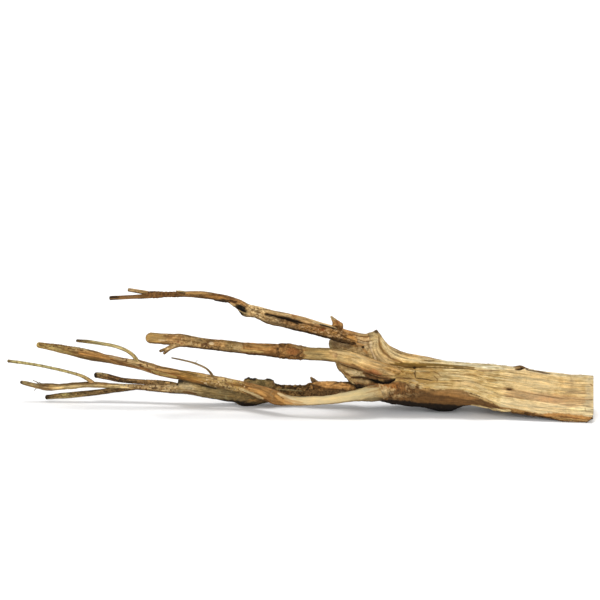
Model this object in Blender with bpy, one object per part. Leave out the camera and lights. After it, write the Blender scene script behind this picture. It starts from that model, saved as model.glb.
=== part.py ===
"""A 60 cm piece of branching driftwood, lying as it rests on level ground.

A split half log, sawn across at one end, tears into four limbs at the other. Two of them grow together, part again
and end in thin prongs and twigs. X runs along the wood towards the sawn end, Y away from the viewer and Z up. The
origin is on the ground, under the middle of the wood.
"""

import math

import bmesh
import bpy
import numpy as np
from mathutils import Matrix, Vector

# Driving dimensions, in millimetres
MM = 0.001
CENTRE = (3.0, -1.4, 0.0)  # the middle of the wood, in the measure of the places below
GAP = 0.3  # clearance that a limb keeps to what it grows from
SAW_X = 303.5  # sawn end, on the line SAW_Y
SAW_Y = -32.0
SAW_SKEW = 5.4  # degrees that the saw cut leans from square
CHIP_FOOT_X = 296.5  # the chipped lower corner of the sawn end starts here on the ground
CHIP_LEAN = 38.0  # degrees that the chip leans from upright
TRUNK_RINGS = ((35.0, 0), (59.0, 5), (79.0, 9), (83.8, 11), (88.6, 13), (112.0, 18), (318.0, 38))  # rings lie closest where the crest bends
LIMB_STEP = 8.0  # spacing of a limb's rings
TWIG_STEP = 7.6
FACE_HOLLOW = 1.1  # the split face is a little hollow between its edges
BARK_LEDGE = 1.3  # the bark stands this far proud of the face's lower edge
BARK_RELIEF = 0.9  # height of the bark's swellings
FRONT_END_X = -33.0  # the front limb ends and the long limb starts here
BACK_END_X = -55.0  # the back limb ends and the lower limb starts here

# The trunk's cross-sections. Each station along X gives six places (y, z): the lower front edge of the split face,
# the groove at its upper side, the ridge on top, the furthest back, the lowest point, and the front of the underside.
TRUNK = {
    35.0: [(14.2, 65), (14.4, 68.5), (16, 70.5), (18.2, 67), (17, 64), (15, 64)],
    38.0: [(13, 58), (13.2, 69), (16, 72.8), (20, 65), (17.5, 56.5), (14.5, 57)],
    43.0: [(11.5, 47), (12, 66), (16, 73), (22.8, 59), (18, 43.5), (13, 45)],
    52.0: [(9, 37), (10.5, 62), (16, 71.5), (25, 51), (18, 31), (11, 33)],
    64.0: [(3, 30), (4, 60), (11, 73), (26, 46), (17, 23), (6, 24.5)],
    74.0: [(-8, 34), (-2, 59), (5.5, 78), (25.5, 44), (11, 20), (-5, 24)],
    79.0: [(-14, 35), (-4, 58), (3, 81), (26, 43), (9, 18), (-10, 22)],
    83.8: [(-18, 36), (-5.5, 56), (2, 84.6), (27, 41.5), (7.5, 15.5), (-15, 19)],
    88.6: [(-21, 36.5), (-6.8, 53.5), (2, 77), (28, 39.5), (6.5, 13.5), (-17.5, 16.5)],
    94.0: [(-23, 37), (-7.5, 51.5), (2, 70.5), (29, 36.5), (5.5, 12), (-18, 14.5)],
    107.0: [(-25, 37.5), (-8, 50), (1.5, 62), (31, 33), (4, 8.5), (-18, 11)],
    128.0: [(-27, 31), (-8, 47.5), (0, 57.5), (32, 30), (2, 5.5), (-15, 8)],
    158.0: [(-28, 28), (-9, 46.5), (-1.5, 51.5), (32, 29), (-3, -0.6), (-20, 7.5)],
    181.0: [(-30, 25.5), (-10.5, 44.5), (-3, 49.5), (30, 28), (4, 8), (-25, 12.5)],
    193.0: [(-33, 20), (-12, 43.5), (-4, 49.2), (28, 26), (3, 6.5), (-27, 10.2)],
    209.0: [(-34, 12.5), (-13, 42.5), (-5, 48), (24.5, 24), (0, 3), (-32, 8.2)],
    225.0: [(-37.5, 9.5), (-14, 40.5), (-6.5, 46.2), (22, 23), (-3, 1.2), (-36, 7.6)],
    250.0: [(-42, 7), (-15, 38), (-8, 43.6), (18, 21), (-8, -0.4), (-40.5, 4.7)],
    275.0: [(-46, 6.5), (-18, 34.5), (-11, 41), (13, 21), (-12, -0.5), (-45, 0.9)],
    318.0: [(-51, 6), (-20, 33.5), (-13, 38.7), (9, 20), (-12, -0.5), (-50, -0.4)],
}

# Depth of the dark groove that runs down the face below the ridge
GROOVE = {35.0: 0.0, 75.0: 0.8, 85.0: 2.4, 107.0: 3.0, 158.0: 2.0, 209.0: 0.9, 250.0: 0.2, 318.0: 0.0}

# Each route is a list of (x, y, z, radius), from the root outwards.
UPPER = [
    (82, 9, 73.5, 5.2), (75, 7, 73.5, 6.0), (68, 4, 74.2, 6.4), (59, 0.5, 76.5, 6.5), (51, -2, 79, 6.5),
    (36, -5, 84.5, 6.6), (20, -6, 89.5, 6.7), (5, -6, 93.5, 7.6), (-10, -5, 97, 7.2), (-26, -4, 100, 6.8),
    (-40, -3, 105, 5.6), (-49, -2, 107.5, 5.2), (-57, -1, 112.5, 4.3), (-67, 0, 117, 3.6), (-82, 1, 120, 3.6),
    (-97, 2, 121.8, 3.6), (-118, 3, 122, 2.9), (-133, 4, 121.5, 2.7), (-145, 5, 121, 3.5), (-151, 5.5, 121.3, 2.9),
]
UPPER_PRONG = [(-143, 5, 121.3, 1.9), (-152, 5.5, 122.6, 1.9), (-162, 7, 124, 1.7), (-170, 8, 126, 1.5)]
LOWER_PRONG = [(-143, 5, 120.3, 2.0), (-152, 4.5, 119.4, 2.0), (-170, 4, 118.6, 1.7), (-189, 3, 118, 1.9)]
MIDDLE = [
    (121, -3, 32, 5.0), (109, -10.5, 39.5, 6.2), (92, -14.5, 46.5, 7.4), (76, -14, 51, 8.0), (56, -13, 58, 7.5),
    (36, -12, 61.8, 6.8), (15, -11, 62.6, 6.4), (-5, -11, 65, 7.3), (-26, -11, 66.5, 6.4), (-46, -11, 68, 5.9),
    (-72, -11, 71, 5.6), (-97, -11, 73.6, 5.6), (-117, -11, 77, 6.3), (-133, -11, 78.6, 5.4), (-147, -11, 79.7, 5.0),
]
MIDDLE_STUB = [(-117, -13, 75.5, 2.6), (-124, -17, 73, 2.3), (-130, -20, 70, 1.9)]
STUB_PRONGS = ([(-128, -19, 71, 1.6), (-137, -21, 68, 1.2)], [(-127, -19, 71, 1.5), (-132.5, -22, 66, 1.1)])
FRONT = [
    (106, -3, 24, 5.0), (95, -10, 24.5, 6.3), (85, -17.5, 24.6, 7.2), (76, -23.5, 24.6, 7.0), (66, -26.5, 23.4, 6.2),
    (56, -27.5, 22, 5.5), (36, -27.5, 18.8, 4.9), (15, -25, 16.8, 4.7), (-5, -20, 15.8, 4.9), (-17, -14, 16.6, 6.2),
    (-28, -6, 18.6, 6.4),
]
LONG = [
    (-41, 2, 20.1, 6.6), (-52, 8, 22.4, 5.9), (-67, 11, 25, 5.9), (-98, 15, 30.2, 5.7), (-119, 17, 33.9, 5.1),
    (-140, 19, 37.4, 4.9), (-160, 20, 43.3, 4.8), (-181, 22, 47.1, 4.3), (-202, 24, 50.9, 4.2), (-223, 25, 55.3, 4.4),
    (-243, 26, 59.3, 3.5), (-265.5, 27, 63.3, 2.8),
]
FIRST_TWIG = [
    (-163.5, 20, 45.3, 2.3), (-165.5, 19, 51.3, 1.9), (-172.5, 17, 58.4, 1.7), (-182.5, 15, 63.6, 1.6),
    (-201.5, 14, 67.7, 1.6), (-214.5, 13, 69.8, 1.6), (-224.5, 13, 70.6, 1.3),
]
SECOND_TWIG = [
    (-84, 13, 29.2, 1.8), (-87, 9, 37.5, 1.3), (-92, 5, 43.7, 1.1), (-102, 2, 49.2, 1.0), (-116.5, -1, 54, 0.9),
    (-126.5, -3, 56.6, 0.7),
]
BACK = [
    (84, 8, 25, 6.6), (69, 14.5, 18.8, 6.2), (52, 17.5, 18, 6.4), (31, 20, 17.8, 6.9), (14.5, 21.5, 15.6, 6.7),
    (-5.5, 22.5, 14.6, 6.5), (-21, 23, 14.6, 8.0), (-31.5, 23.5, 15.6, 9.8), (-43, 24, 14.2, 11.7),
]
LOWER = [
    (-50, 24.5, 12, 11.9), (-62, 25, 11.6, 9.0), (-78, 25.5, 13.0, 8.1), (-99, 27, 15.4, 7.0), (-115, 29, 16.4, 5.8),
    (-130, 31, 15.3, 4.7), (-151, 33, 15.8, 3.6), (-172, 35, 16.6, 2.9), (-193, 37, 17.1, 2.9), (-212, 38, 18.2, 2.8),
    (-235, 39, 16.5, 2.9), (-258, 40, 15, 3.3), (-272, 40, 16.4, 2.6), (-286, 41, 19.8, 2.1),
]
THIN_TWIG = [
    (-211, 38, 19, 1.9), (-216, 38, 23.5, 1.8), (-222, 38, 27, 1.6), (-235, 39, 31, 1.5), (-256, 41, 35.6, 1.4),
    (-277, 43, 39.2, 1.3), (-300, 45, 41.8, 1.4),
]
STUB = [
    (-118, 31, 18, 2.4), (-130, 34, 20, 2.6), (-152, 38, 20.8, 2.6), (-183, 42, 22.3, 2.8), (-199, 44, 25.4, 3.2),
    (-208, 45, 26.7, 2.9),
]
PRONG = [
    (-166, 34.5, 15.8, 2.0), (-179, 35, 14.2, 2.5), (-193, 36, 12.2, 2.7), (-214, 37, 9.4, 3.1), (-235, 37, 7.2, 3.1),
    (-259.5, 37, 4.9, 2.3),
]

# The snag that stands on the upper branch, the torn lump below its knee, and a spur of bark on the back limb
SNAG = [(46, -7, 84, 4.8), (44.5, -8, 91, 4.6), (41, -8, 96, 2.8), (37, -8, 101, 0.9)]
KNEE_LUMP = [
    (-42, -3, 104.5, 4.2), (-50, -5, 104.8, 4.4), (-55, -6, 107.2, 3.8), (-58.5, -6.5, 109.9, 2.7), (-62, -7, 112.6, 1.7),
    (-66, -7, 114.8, 0.9),
]
BARK_SPUR = [(22, 19.5, 23.5, 3.2), (19, 19, 27, 2.4), (16.5, 18.5, 30.6, 0.9)]

# Torn bark that still sleeves the back limb: where it starts and ends along X, and how far it stands proud
BARK_SLEEVES = ((-54.0, -22.0, 2.4), (14.5, 62.0, 3.4))

# Cracks, hollows and holes: centre, half sizes along the run, across it and into the wood, and the run's direction
CRACK = ((-9, -12.5, 97.5), (19, 1.3, 5.0), (1, 0, -0.24))
KNEE_HOLLOW = ((-54, -10.5, 107.6), (4.4, 2.5, 4.2), (1, 0, -0.6))
ROOT_SLOT = ((86, -24, 36.9), (14.5, 2.2, 10.0), (1, 0, 0.02))
FACE_KNOT = ((217, -24.5, 28), (4.2, 1.2, 3.0), (1, 0, -0.1))
RIDGE_HOLE = ((232, -11, 44.5), (3.2, 1.3, 3.0), (1, 0, -0.2))

# Lumps that stand out of a surface: centre, reach and height
TRUNK_LUMPS = (
    (231, -7, 48.5, 6.0, 3.2),  # knob on the ridge
    (179, -31, 25, 7.0, 1.6),  # bump where the bark is torn from the face
    (101, -27, 30, 8.0, 2.6),  # knuckles of rough bark round the roots of the limbs
    (89, -24, 33, 6.0, 2.2),
    (115, -28, 25, 8.0, 1.8),
    (96, -22, 18, 8.0, 1.6),
)
NODE_SWELLING = (-22, -15, 17.5, 9.0, 1.2)
KNOT_RING = (-5, -13, 66, 12.0, 1.1)
TIP_SWELLING = (-215, 20, 56, 12.0, 0.6)
BARK_LUMP = (-33, 13, 26, 10.0, 2.4)
WAVY_LUMP = (-258, 37, 15, 7.0, 0.7)

COLOURS = {
    "trunk": (0.62, 0.47, 0.28), "upper_branch": (0.42, 0.28, 0.16), "middle_branch": (0.47, 0.33, 0.19),
    "front_limb": (0.66, 0.51, 0.31), "long_limb": (0.45, 0.29, 0.14), "back_limb": (0.22, 0.18, 0.12),
    "lower_limb": (0.36, 0.29, 0.19), "thin_twig": (0.45, 0.38, 0.22), "dark_stub": (0.20, 0.15, 0.10),
    "low_prong": (0.27, 0.21, 0.13),
}


def smooth(stations, values, at):
    """Cubic curve through values at the stations, with slopes from each station's neighbours."""
    stations, values, at = (np.asarray(a, float) for a in (stations, values, at))
    slopes = np.gradient(values, stations, axis=0)
    i = np.clip(np.searchsorted(stations, at) - 1, 0, len(stations) - 2)
    width = (stations[i + 1] - stations[i])[:, None]
    t = ((at - stations[i]) / width[:, 0])[:, None]
    return (
        values[i] * (1 + 2 * t) * (1 - t) ** 2
        + slopes[i] * width * t * (1 - t) ** 2
        + values[i + 1] * t * t * (3 - 2 * t)
        - slopes[i + 1] * width * t * t * (1 - t)
    )


def path_of(route, step):
    """Points and radii along a smooth curve through the route, about one step apart."""
    route = np.array(route, float)
    along = np.concatenate([[0], np.cumsum(np.linalg.norm(np.diff(route[:, :3], axis=0), axis=1))])
    count = max(3, round(along[-1] / step) + 1)
    return smooth(along, route, np.linspace(0, along[-1], count))


def ripple(along, angle, seed, amount):
    """Uneven swelling of a limb: a few waves that run round it and along it."""
    draw = np.random.default_rng(seed)
    total = np.zeros(np.broadcast(along, angle).shape)
    for turns, wave in ((1, 60), (2, 34), (3, 21), (2, 15), (4, 27)):
        phase, shift = draw.uniform(0, 2 * math.pi, 2)
        total += np.sin(turns * angle + phase + 0.6 * np.sin(along / wave + shift)) * np.cos(along / wave + shift)
    return amount * total / 2


def raised(points, centre, lumps):
    """Moves points away from the centres of their rings where they lie near a lump."""
    for x, y, z, reach, height in lumps:
        away = np.linalg.norm(points - np.array([x, y, z]), axis=-1, keepdims=True)
        outward = points - centre
        outward = outward / np.maximum(np.linalg.norm(outward, axis=-1, keepdims=True), 1e-9)
        points = points + outward * height * np.exp(-((away / reach) ** 2))
    return points


def placed(point):
    """A place in millimetres as a point of the scene, whose origin is under the middle of the wood."""
    return (Vector(point) - Vector(CENTRE)) * MM


def skin(name, rings, closing_points):
    """A closed mesh object over rings of points, each end closed on its own point."""
    mesh = bmesh.new()
    loops = [[mesh.verts.new(placed(p)) for p in ring] for ring in rings]
    count = len(loops[0])
    for first, second in zip(loops, loops[1:]):
        for i in range(count):
            j = (i + 1) % count
            mesh.faces.new((first[i], first[j], second[j], second[i]))
    for loop, point, backward in ((loops[0], closing_points[0], True), (loops[-1], closing_points[1], False)):
        tip = mesh.verts.new(placed(point))
        for i in range(count):
            j = (i + 1) % count
            mesh.faces.new((tip, loop[j], loop[i]) if backward else (tip, loop[i], loop[j]))
    bmesh.ops.recalc_face_normals(mesh, faces=mesh.faces)
    data = bpy.data.meshes.new(name)
    mesh.to_mesh(data)
    mesh.free()
    data.shade_smooth()
    data.set_sharp_from_angle(angle=math.radians(50))
    made = bpy.data.objects.new(name, data)
    bpy.context.scene.collection.objects.link(made)
    return made


def run_of(route, sides=12, step=LIMB_STEP, uneven=0.05, seed=1, lumps=(), grow=0.0):
    """Rings of an uneven circle carried along a route, with their centres, directions and radii."""
    path = path_of(route, step)
    centre, radius = path[:, :3], path[:, 3]
    along = np.concatenate([[0], np.cumsum(np.linalg.norm(np.diff(centre, axis=0), axis=1))])
    forward = np.gradient(centre, axis=0)
    forward /= np.linalg.norm(forward, axis=1, keepdims=True)
    upright = np.abs(forward).max(axis=0)[2] > 0.85
    across = np.cross(forward, (0.0, 1.0, 0.0) if upright else (0.0, 0.0, 1.0))
    across /= np.linalg.norm(across, axis=1, keepdims=True)
    over = np.cross(across, forward)
    angle = np.arange(sides) * 2 * math.pi / sides
    reach = radius[:, None] * (1 + ripple(along[:, None], angle[None, :], seed, uneven))
    outward = np.cos(angle)[:, None] * across[:, None] + np.sin(angle)[:, None] * over[:, None]
    rings = raised(centre[:, None] + reach[..., None] * outward, centre[:, None], lumps) + grow * outward
    return rings, centre, forward, radius, grow


def limb(name, run, start="flat", end="round", part=slice(None)):
    """A solid over a run's rings, or over part of them. An end is round, or flat where it is hidden or goes on."""
    rings, centre, forward, radius, grow = run
    rings, centre, forward, radius = rings[part], centre[part], forward[part], radius[part]
    rows, tips = list(rings), [centre[0], centre[-1]]
    for i, way, kind in ((0, -1, start), (-1, 1, end)):
        if kind == "flat":
            continue
        reach = way * (radius[i] + grow) * forward[i]
        caps = [centre[i] + math.sin(t) * reach + math.cos(t) * (rings[i] - centre[i]) for t in (0.55, 1.1)]
        rows = rows + caps if way > 0 else caps[::-1] + rows
        tips[i] = centre[i] + reach
    return skin(name, rows, tips)


def tube(name, route, **looks):
    """A whole limb, flat at its root and round at its tip."""
    return limb(name, run_of(route, **looks))


def trunk_ring(places, x, depth, grow):
    """One ring of the trunk from its six places: the face, the ridge, the round back, the underside and the bark."""
    edge, groove, ridge, back, sole, front = (np.array(p, float) for p in places)
    quarter = np.linspace(0, math.pi / 2, 8)[1:-1]
    face = [edge + (groove - edge) * t for t in np.linspace(0, 1, 8)[:-1]]
    crest = [groove + (ridge - groove) * t for t in np.linspace(0, 1, 4)[:-1]]
    over = [(ridge[0] + (back[0] - ridge[0]) * math.sin(t), back[1] + (ridge[1] - back[1]) * math.cos(t)) for t in quarter]
    under = [(sole[0] + (back[0] - sole[0]) * math.cos(t), back[1] + (sole[1] - back[1]) * math.sin(t)) for t in quarter]
    belly = [sole + (front - sole) * t for t in np.linspace(0, 1, 6)[:-1]]
    bark = [front + (edge - front) * t for t in np.linspace(0, 1, 5)[:-1]]
    ring = np.array([*face, *crest, ridge, *over, back, *under, *belly, *bark])
    relief = np.zeros(len(ring))
    relief[: len(face)] = -FACE_HOLLOW * np.sin(np.linspace(0, math.pi, len(face)))
    relief[len(face) - 1 : len(face) + 2] -= depth * np.array([0.4, 1.0, 0.4])
    outside = np.arange(len(ring) - len(face) - len(crest))
    relief[-len(outside) :] += BARK_RELIEF * np.sin(outside * 2.3 + x / 9) * np.sin(x / 17 + outside)
    relief[-len(bark) :] += BARK_LEDGE * np.sin(np.linspace(0.4, 1.0, len(bark)) * math.pi / 2)
    relief *= min(1.0, max(0.1, (x - 35) / 30))  # the torn wall thins out at its end
    tangent = np.roll(ring, -1, axis=0) - np.roll(ring, 1, axis=0)
    normal = np.stack([tangent[:, 1], -tangent[:, 0]], axis=1)
    normal /= np.linalg.norm(normal, axis=1, keepdims=True)
    middle = ring.mean(axis=0)
    if ((ring - middle) * normal).sum() < 0:
        normal = -normal
    ring = ring + normal * (relief[:, None] + grow)
    return np.column_stack([np.full(len(ring), x), ring])


def trunk_log(name, grow=0.0):
    """The log's outer form, which runs a little past the saw cut."""
    stations = np.array(sorted(TRUNK))
    places = np.array([TRUNK[x] for x in stations], float).reshape(len(stations), -1)
    first, last = stations[0] - grow, stations[-1] + grow
    spots, counts = zip(*TRUNK_RINGS)
    at = np.interp(np.arange(counts[-1] + 1), counts, spots)
    at[0], at[-1] = first, last
    rows = smooth(stations, places, np.clip(at, stations[0], stations[-1])).reshape(len(at), 6, 2)
    depths = np.interp(at, sorted(GROOVE), [GROOVE[x] for x in sorted(GROOVE)])
    rings = np.array([trunk_ring(row, x, depth, grow) for row, x, depth in zip(rows, at, depths)])
    middle = rings.mean(axis=1, keepdims=True)
    rings = raised(rings, middle, TRUNK_LUMPS)
    tips = [middle[0, 0] - [0.8 + grow, 0, 0], middle[-1, 0]]
    return skin(name, rings, tips)


def lens(name, shape, fineness=1):
    """A smooth hollow: a ball stretched to its three half sizes and turned along its run."""
    centre, half, run = shape
    mesh = bmesh.new()
    bmesh.ops.create_icosphere(mesh, subdivisions=fineness, radius=1.0)
    run = Vector(run).normalized()
    into = run.cross(Vector((0, 0, 1))).normalized()
    across = into.cross(run)
    turn = Matrix((run, across, into)).transposed().to_4x4()
    size = Matrix.Diagonal((*[h * MM for h in half], 1))
    bmesh.ops.transform(mesh, matrix=Matrix.Translation(placed(centre)) @ turn @ size, verts=mesh.verts)
    bmesh.ops.recalc_face_normals(mesh, faces=mesh.faces)
    data = bpy.data.meshes.new(name)
    mesh.to_mesh(data)
    mesh.free()
    made = bpy.data.objects.new(name, data)
    bpy.context.scene.collection.objects.link(made)
    return made


def block(name, low, high, turn=None, about=(0, 0, 0)):
    """A plain block, turned about a point where a turn is given."""
    mesh = bmesh.new()
    bmesh.ops.create_cube(mesh, size=1.0)
    low, high = placed(low), placed(high)
    place = Matrix.Translation((low + high) / 2) @ Matrix.Diagonal((*(high - low), 1))
    if turn is not None:
        point = placed(about)
        place = Matrix.Translation(point) @ turn @ Matrix.Translation(-point) @ place
    bmesh.ops.transform(mesh, matrix=place, verts=mesh.verts)
    data = bpy.data.meshes.new(name)
    mesh.to_mesh(data)
    mesh.free()
    made = bpy.data.objects.new(name, data)
    bpy.context.scene.collection.objects.link(made)
    return made


def combine(piece, helper, operation):
    """Adds the helper to the piece, or cuts it away."""
    helper.hide_render = True
    helper.display_type = "WIRE"
    boolean = piece.modifiers.new(helper.name, "BOOLEAN")
    boolean.operation = operation
    boolean.object = helper
    boolean.solver = "EXACT"


def join(piece, *helpers):
    for helper in helpers:
        combine(piece, helper, "UNION")


def cut(piece, *helpers):
    for helper in helpers:
        combine(piece, helper, "DIFFERENCE")


def finish(piece):
    """Gives a piece its own wood colour."""
    material = bpy.data.materials.new(piece.name + "_wood")
    material.use_nodes = True
    shader = material.node_tree.nodes["Principled BSDF"]
    shader.inputs["Base Color"].default_value = (*COLOURS[piece.name], 1)
    shader.inputs["Roughness"].default_value = 0.8
    shader.inputs["Metallic"].default_value = 0.0
    piece.data.materials.append(material)


def build_trunk():
    trunk = trunk_log("trunk")
    saw_turn = Matrix.Rotation(math.radians(-SAW_SKEW), 4, "Z")
    saw = block("saw_cut", (SAW_X, -140, -40), (SAW_X + 60, 110, 120), saw_turn, (SAW_X, SAW_Y, 0))
    chip_turn = Matrix.Rotation(math.radians(CHIP_LEAN), 4, "Y")
    chip = block("corner_chip", (CHIP_FOOT_X, -90, -40), (CHIP_FOOT_X + 30, -36, 20), chip_turn, (CHIP_FOOT_X, 0, 0))
    cut(trunk, chip, saw, lens("root_slot", ROOT_SLOT), lens("face_knot", FACE_KNOT))
    cut(trunk, lens("ridge_hole", RIDGE_HOLE), ground("ground_under_trunk"))
    return trunk


def ground(name):
    """The level ground, which the wood's contacts are worn flat to."""
    return block(name, (-400, -200, -60), (400, 200, 0))


def build_upper_branch():
    branch = tube("upper_branch", UPPER, uneven=0.07, seed=3)
    prongs = {"upper_prong": UPPER_PRONG, "lower_prong": LOWER_PRONG}
    join(branch, *[tube(name, route, sides=7, step=TWIG_STEP, seed=5) for name, route in prongs.items()])
    torn = {"snag": SNAG, "knee_lump": KNEE_LUMP}
    join(branch, *[tube(name, route, sides=8, step=3.5, seed=8) for name, route in torn.items()])
    cut(branch, lens("long_crack", CRACK, fineness=2), lens("knee_hollow", KNEE_HOLLOW))
    return branch


def build_middle_branch():
    branch = tube("middle_branch", MIDDLE, uneven=0.05, seed=11, lumps=[KNOT_RING])
    join(branch, tube("stub", MIDDLE_STUB, sides=7, step=4, seed=12))
    for number, route in enumerate(STUB_PRONGS):
        join(branch, tube(f"stub_prong_{number}", route, sides=6, step=4, seed=13))
    return branch


def front_run(grow=0.0):
    """The pale front limb and the long limb it goes on in, as one run, and the ring where they are parted."""
    run = run_of(FRONT + LONG, uneven=0.045, seed=21, lumps=[NODE_SWELLING, TIP_SWELLING], grow=grow)
    return run, int(np.argmin(np.abs(run[1][:, 0] - FRONT_END_X)))


def back_run(grow=0.0):
    """The dark back limb and the lower limb it goes on in, as one run, and the ring where they are parted."""
    run = run_of(BACK + LOWER, uneven=0.06, seed=31, lumps=[BARK_LUMP, WAVY_LUMP], grow=grow)
    return run, int(np.argmin(np.abs(run[1][:, 0] - BACK_END_X)))


def parted(names, run, ring):
    """Two solids which are one run of wood, with the clearance between their flat faces."""
    near = limb(names[0], run, end="flat", part=slice(0, ring + 1))
    rings, centre, forward, radius, grow = run
    rings, centre = rings.copy(), centre.copy()
    rings[ring] += forward[ring] * GAP
    centre[ring] += forward[ring] * GAP
    far = limb(names[1], (rings, centre, forward, radius, grow), part=slice(ring, None))
    return near, far


def build_front_limbs():
    front, long = parted(("front_limb", "long_limb"), *front_run())
    join(long, tube("first_twig", FIRST_TWIG, sides=7, step=TWIG_STEP, seed=22))
    join(long, tube("second_twig", SECOND_TWIG, sides=6, step=TWIG_STEP, seed=23))
    return front, long


def sleeve(name, run, low, high, proud):
    """A stretch of bark round a run of wood, broken off squarely at both ends."""
    rings, centre, forward, radius, _ = run
    number = np.arange(len(centre))
    first, last = np.interp((-high, -low), -centre[:, 0], number)
    at = np.array([first, *number[(number > first) & (number < last)], last])
    before = np.minimum(at.astype(int), len(centre) - 2)
    share = at - before

    def between(values):
        part = share.reshape(-1, *[1] * (values.ndim - 1))
        return values[before] * (1 - part) + values[before + 1] * part

    rings, centre = between(rings), between(centre)
    outward = rings - centre[:, None]
    outward /= np.linalg.norm(outward, axis=-1, keepdims=True)
    turn = np.arange(rings.shape[1]) * 2 * math.pi / rings.shape[1]
    height = proud * (0.75 + 0.5 * np.sin(3 * turn + 1.0))[None, :, None]
    return limb(name, (rings + height * outward, centre, between(forward), between(radius), 0.0), end="flat")


def build_back_limbs():
    back, lower = parted(("back_limb", "lower_limb"), *back_run())
    for number, (low, high, proud) in enumerate(BARK_SLEEVES):
        join(back, sleeve(f"bark_sleeve_{number}", back_run()[0], low, high, proud))
    join(back, tube("bark_spur", BARK_SPUR, sides=7, step=3.5, seed=32))
    cut(back, ground("ground_under_back_limb"))
    cut(lower, ground("ground_under_limb"))
    return back, lower


def build_lower_twigs():
    twig = tube("thin_twig", THIN_TWIG, sides=7, step=TWIG_STEP, seed=41)
    stub = tube("dark_stub", STUB, sides=8, seed=42)
    prong = tube("low_prong", PRONG, sides=9, seed=43, uneven=0.07)
    return twig, stub, prong


def main():
    for old in list(bpy.data.objects):
        bpy.data.objects.remove(old, do_unlink=True)
    trunk = build_trunk()
    upper, middle = build_upper_branch(), build_middle_branch()
    front, long = build_front_limbs()
    back, lower = build_back_limbs()
    twig, stub, prong = build_lower_twigs()

    trunk_room = trunk_log("trunk_room", grow=GAP + 0.15)
    for piece in (upper, middle, front, back):
        cut(piece, trunk_room)
    long_room = limb("long_limb_room", front_run(GAP)[0])
    for piece in (back, lower):
        cut(piece, long_room)
    lower_room = limb("lower_limb_room", back_run(GAP)[0])
    for piece in (twig, stub, prong):
        cut(piece, lower_room)
    for piece in (trunk, upper, middle, front, long, back, lower, twig, stub, prong):
        finish(piece)


main()
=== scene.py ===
import math

import bpy
import numpy as np
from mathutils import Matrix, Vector


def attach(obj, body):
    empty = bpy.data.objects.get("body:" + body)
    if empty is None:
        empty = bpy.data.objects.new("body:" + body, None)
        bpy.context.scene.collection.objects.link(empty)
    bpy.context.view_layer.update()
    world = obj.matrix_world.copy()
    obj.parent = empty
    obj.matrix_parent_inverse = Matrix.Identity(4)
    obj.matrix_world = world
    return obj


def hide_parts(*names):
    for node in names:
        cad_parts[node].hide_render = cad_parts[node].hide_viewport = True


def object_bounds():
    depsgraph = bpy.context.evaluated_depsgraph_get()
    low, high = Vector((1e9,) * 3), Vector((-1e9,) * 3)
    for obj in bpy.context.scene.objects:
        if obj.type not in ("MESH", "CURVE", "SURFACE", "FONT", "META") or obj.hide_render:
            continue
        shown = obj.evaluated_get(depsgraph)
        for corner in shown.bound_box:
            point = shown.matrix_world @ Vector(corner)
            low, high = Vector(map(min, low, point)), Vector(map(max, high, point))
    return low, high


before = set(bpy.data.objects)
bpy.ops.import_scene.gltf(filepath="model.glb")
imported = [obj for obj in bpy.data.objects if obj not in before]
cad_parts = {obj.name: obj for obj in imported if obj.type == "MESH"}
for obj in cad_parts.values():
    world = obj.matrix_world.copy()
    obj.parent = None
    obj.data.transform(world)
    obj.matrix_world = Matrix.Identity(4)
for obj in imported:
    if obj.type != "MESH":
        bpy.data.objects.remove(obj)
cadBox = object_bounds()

# Lengths below are in millimetres, in the measure that the routes were set out in. woodMiddle is where the
# frame's origin lies in it. Marks are laid out on a front drawing, where frontPlace gives a point's place.
mm = 0.001
latticeSize = 512  # random numbers in a noise, after which it repeats
woodMiddle = np.array([3.0, -1.4, 0.0])
viewTilt = math.radians(12)
viewDistance = 2500.0
drawingSize = 600
drawingUnit = 1.022  # millimetres to one unit of the drawing
viewAim = np.array([5.0, 0.0, 116.7])
viewForward = np.array([0, math.cos(viewTilt), -math.sin(viewTilt)])
viewUp = np.array([0, math.sin(viewTilt), math.cos(viewTilt)])

# tones of the wood and bark, linear
tones = {
    "paleStraw": (0.86, 0.72, 0.47), "straw": (0.76, 0.55, 0.27), "tan": (0.55, 0.38, 0.18),
    "paleTan": (0.66, 0.47, 0.23), "orange": (0.5, 0.27, 0.09), "olive": (0.24, 0.17, 0.075),
    "greyBark": (0.38, 0.27, 0.13), "darkBark": (0.13, 0.075, 0.03), "chocolate": (0.16, 0.082, 0.03),
    # shadowBlack is near black painted shade, for cracks, holes and slots
    "umber": (0.26, 0.14, 0.05), "shadowBlack": (0.018, 0.011, 0.006), "deepBrown": (0.1, 0.05, 0.02),
    "brown": (0.17, 0.1, 0.045), "dullTan": (0.46, 0.31, 0.14), "lightBrown": (0.4, 0.26, 0.12),
    "russet": (0.36, 0.2, 0.075), "redBrown": (0.2, 0.1, 0.035), "greyBrown": (0.16, 0.1, 0.05),
}
toneShare = 0.68  # of the tones above and in the dictionaries, for the studio's bright light
undersideShadeShare = 0.62  # how far undersides are darkened by painted shade
undersideShadeFactor = (0.16, 0.12, 0.08)  # what the painted shade multiplies their red, green and blue by
groundGap = 0.05  # millimetres that the lowest points stay above the ground


def toneOf(name):
    # a tone by its name, or red, green and blue as they are
    return np.array(tones[name] if isinstance(name, str) else name, float)


# noise and curves, on whole arrays

def latticeKey(order, spot):
    # a lattice corner's place in the shuffled order: each coordinate in turn is added and looked up again
    first = order[spot[..., 0] % latticeSize]
    second = order[(first + spot[..., 1]) % latticeSize]
    return order[(second + spot[..., 2]) % latticeSize]


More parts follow.
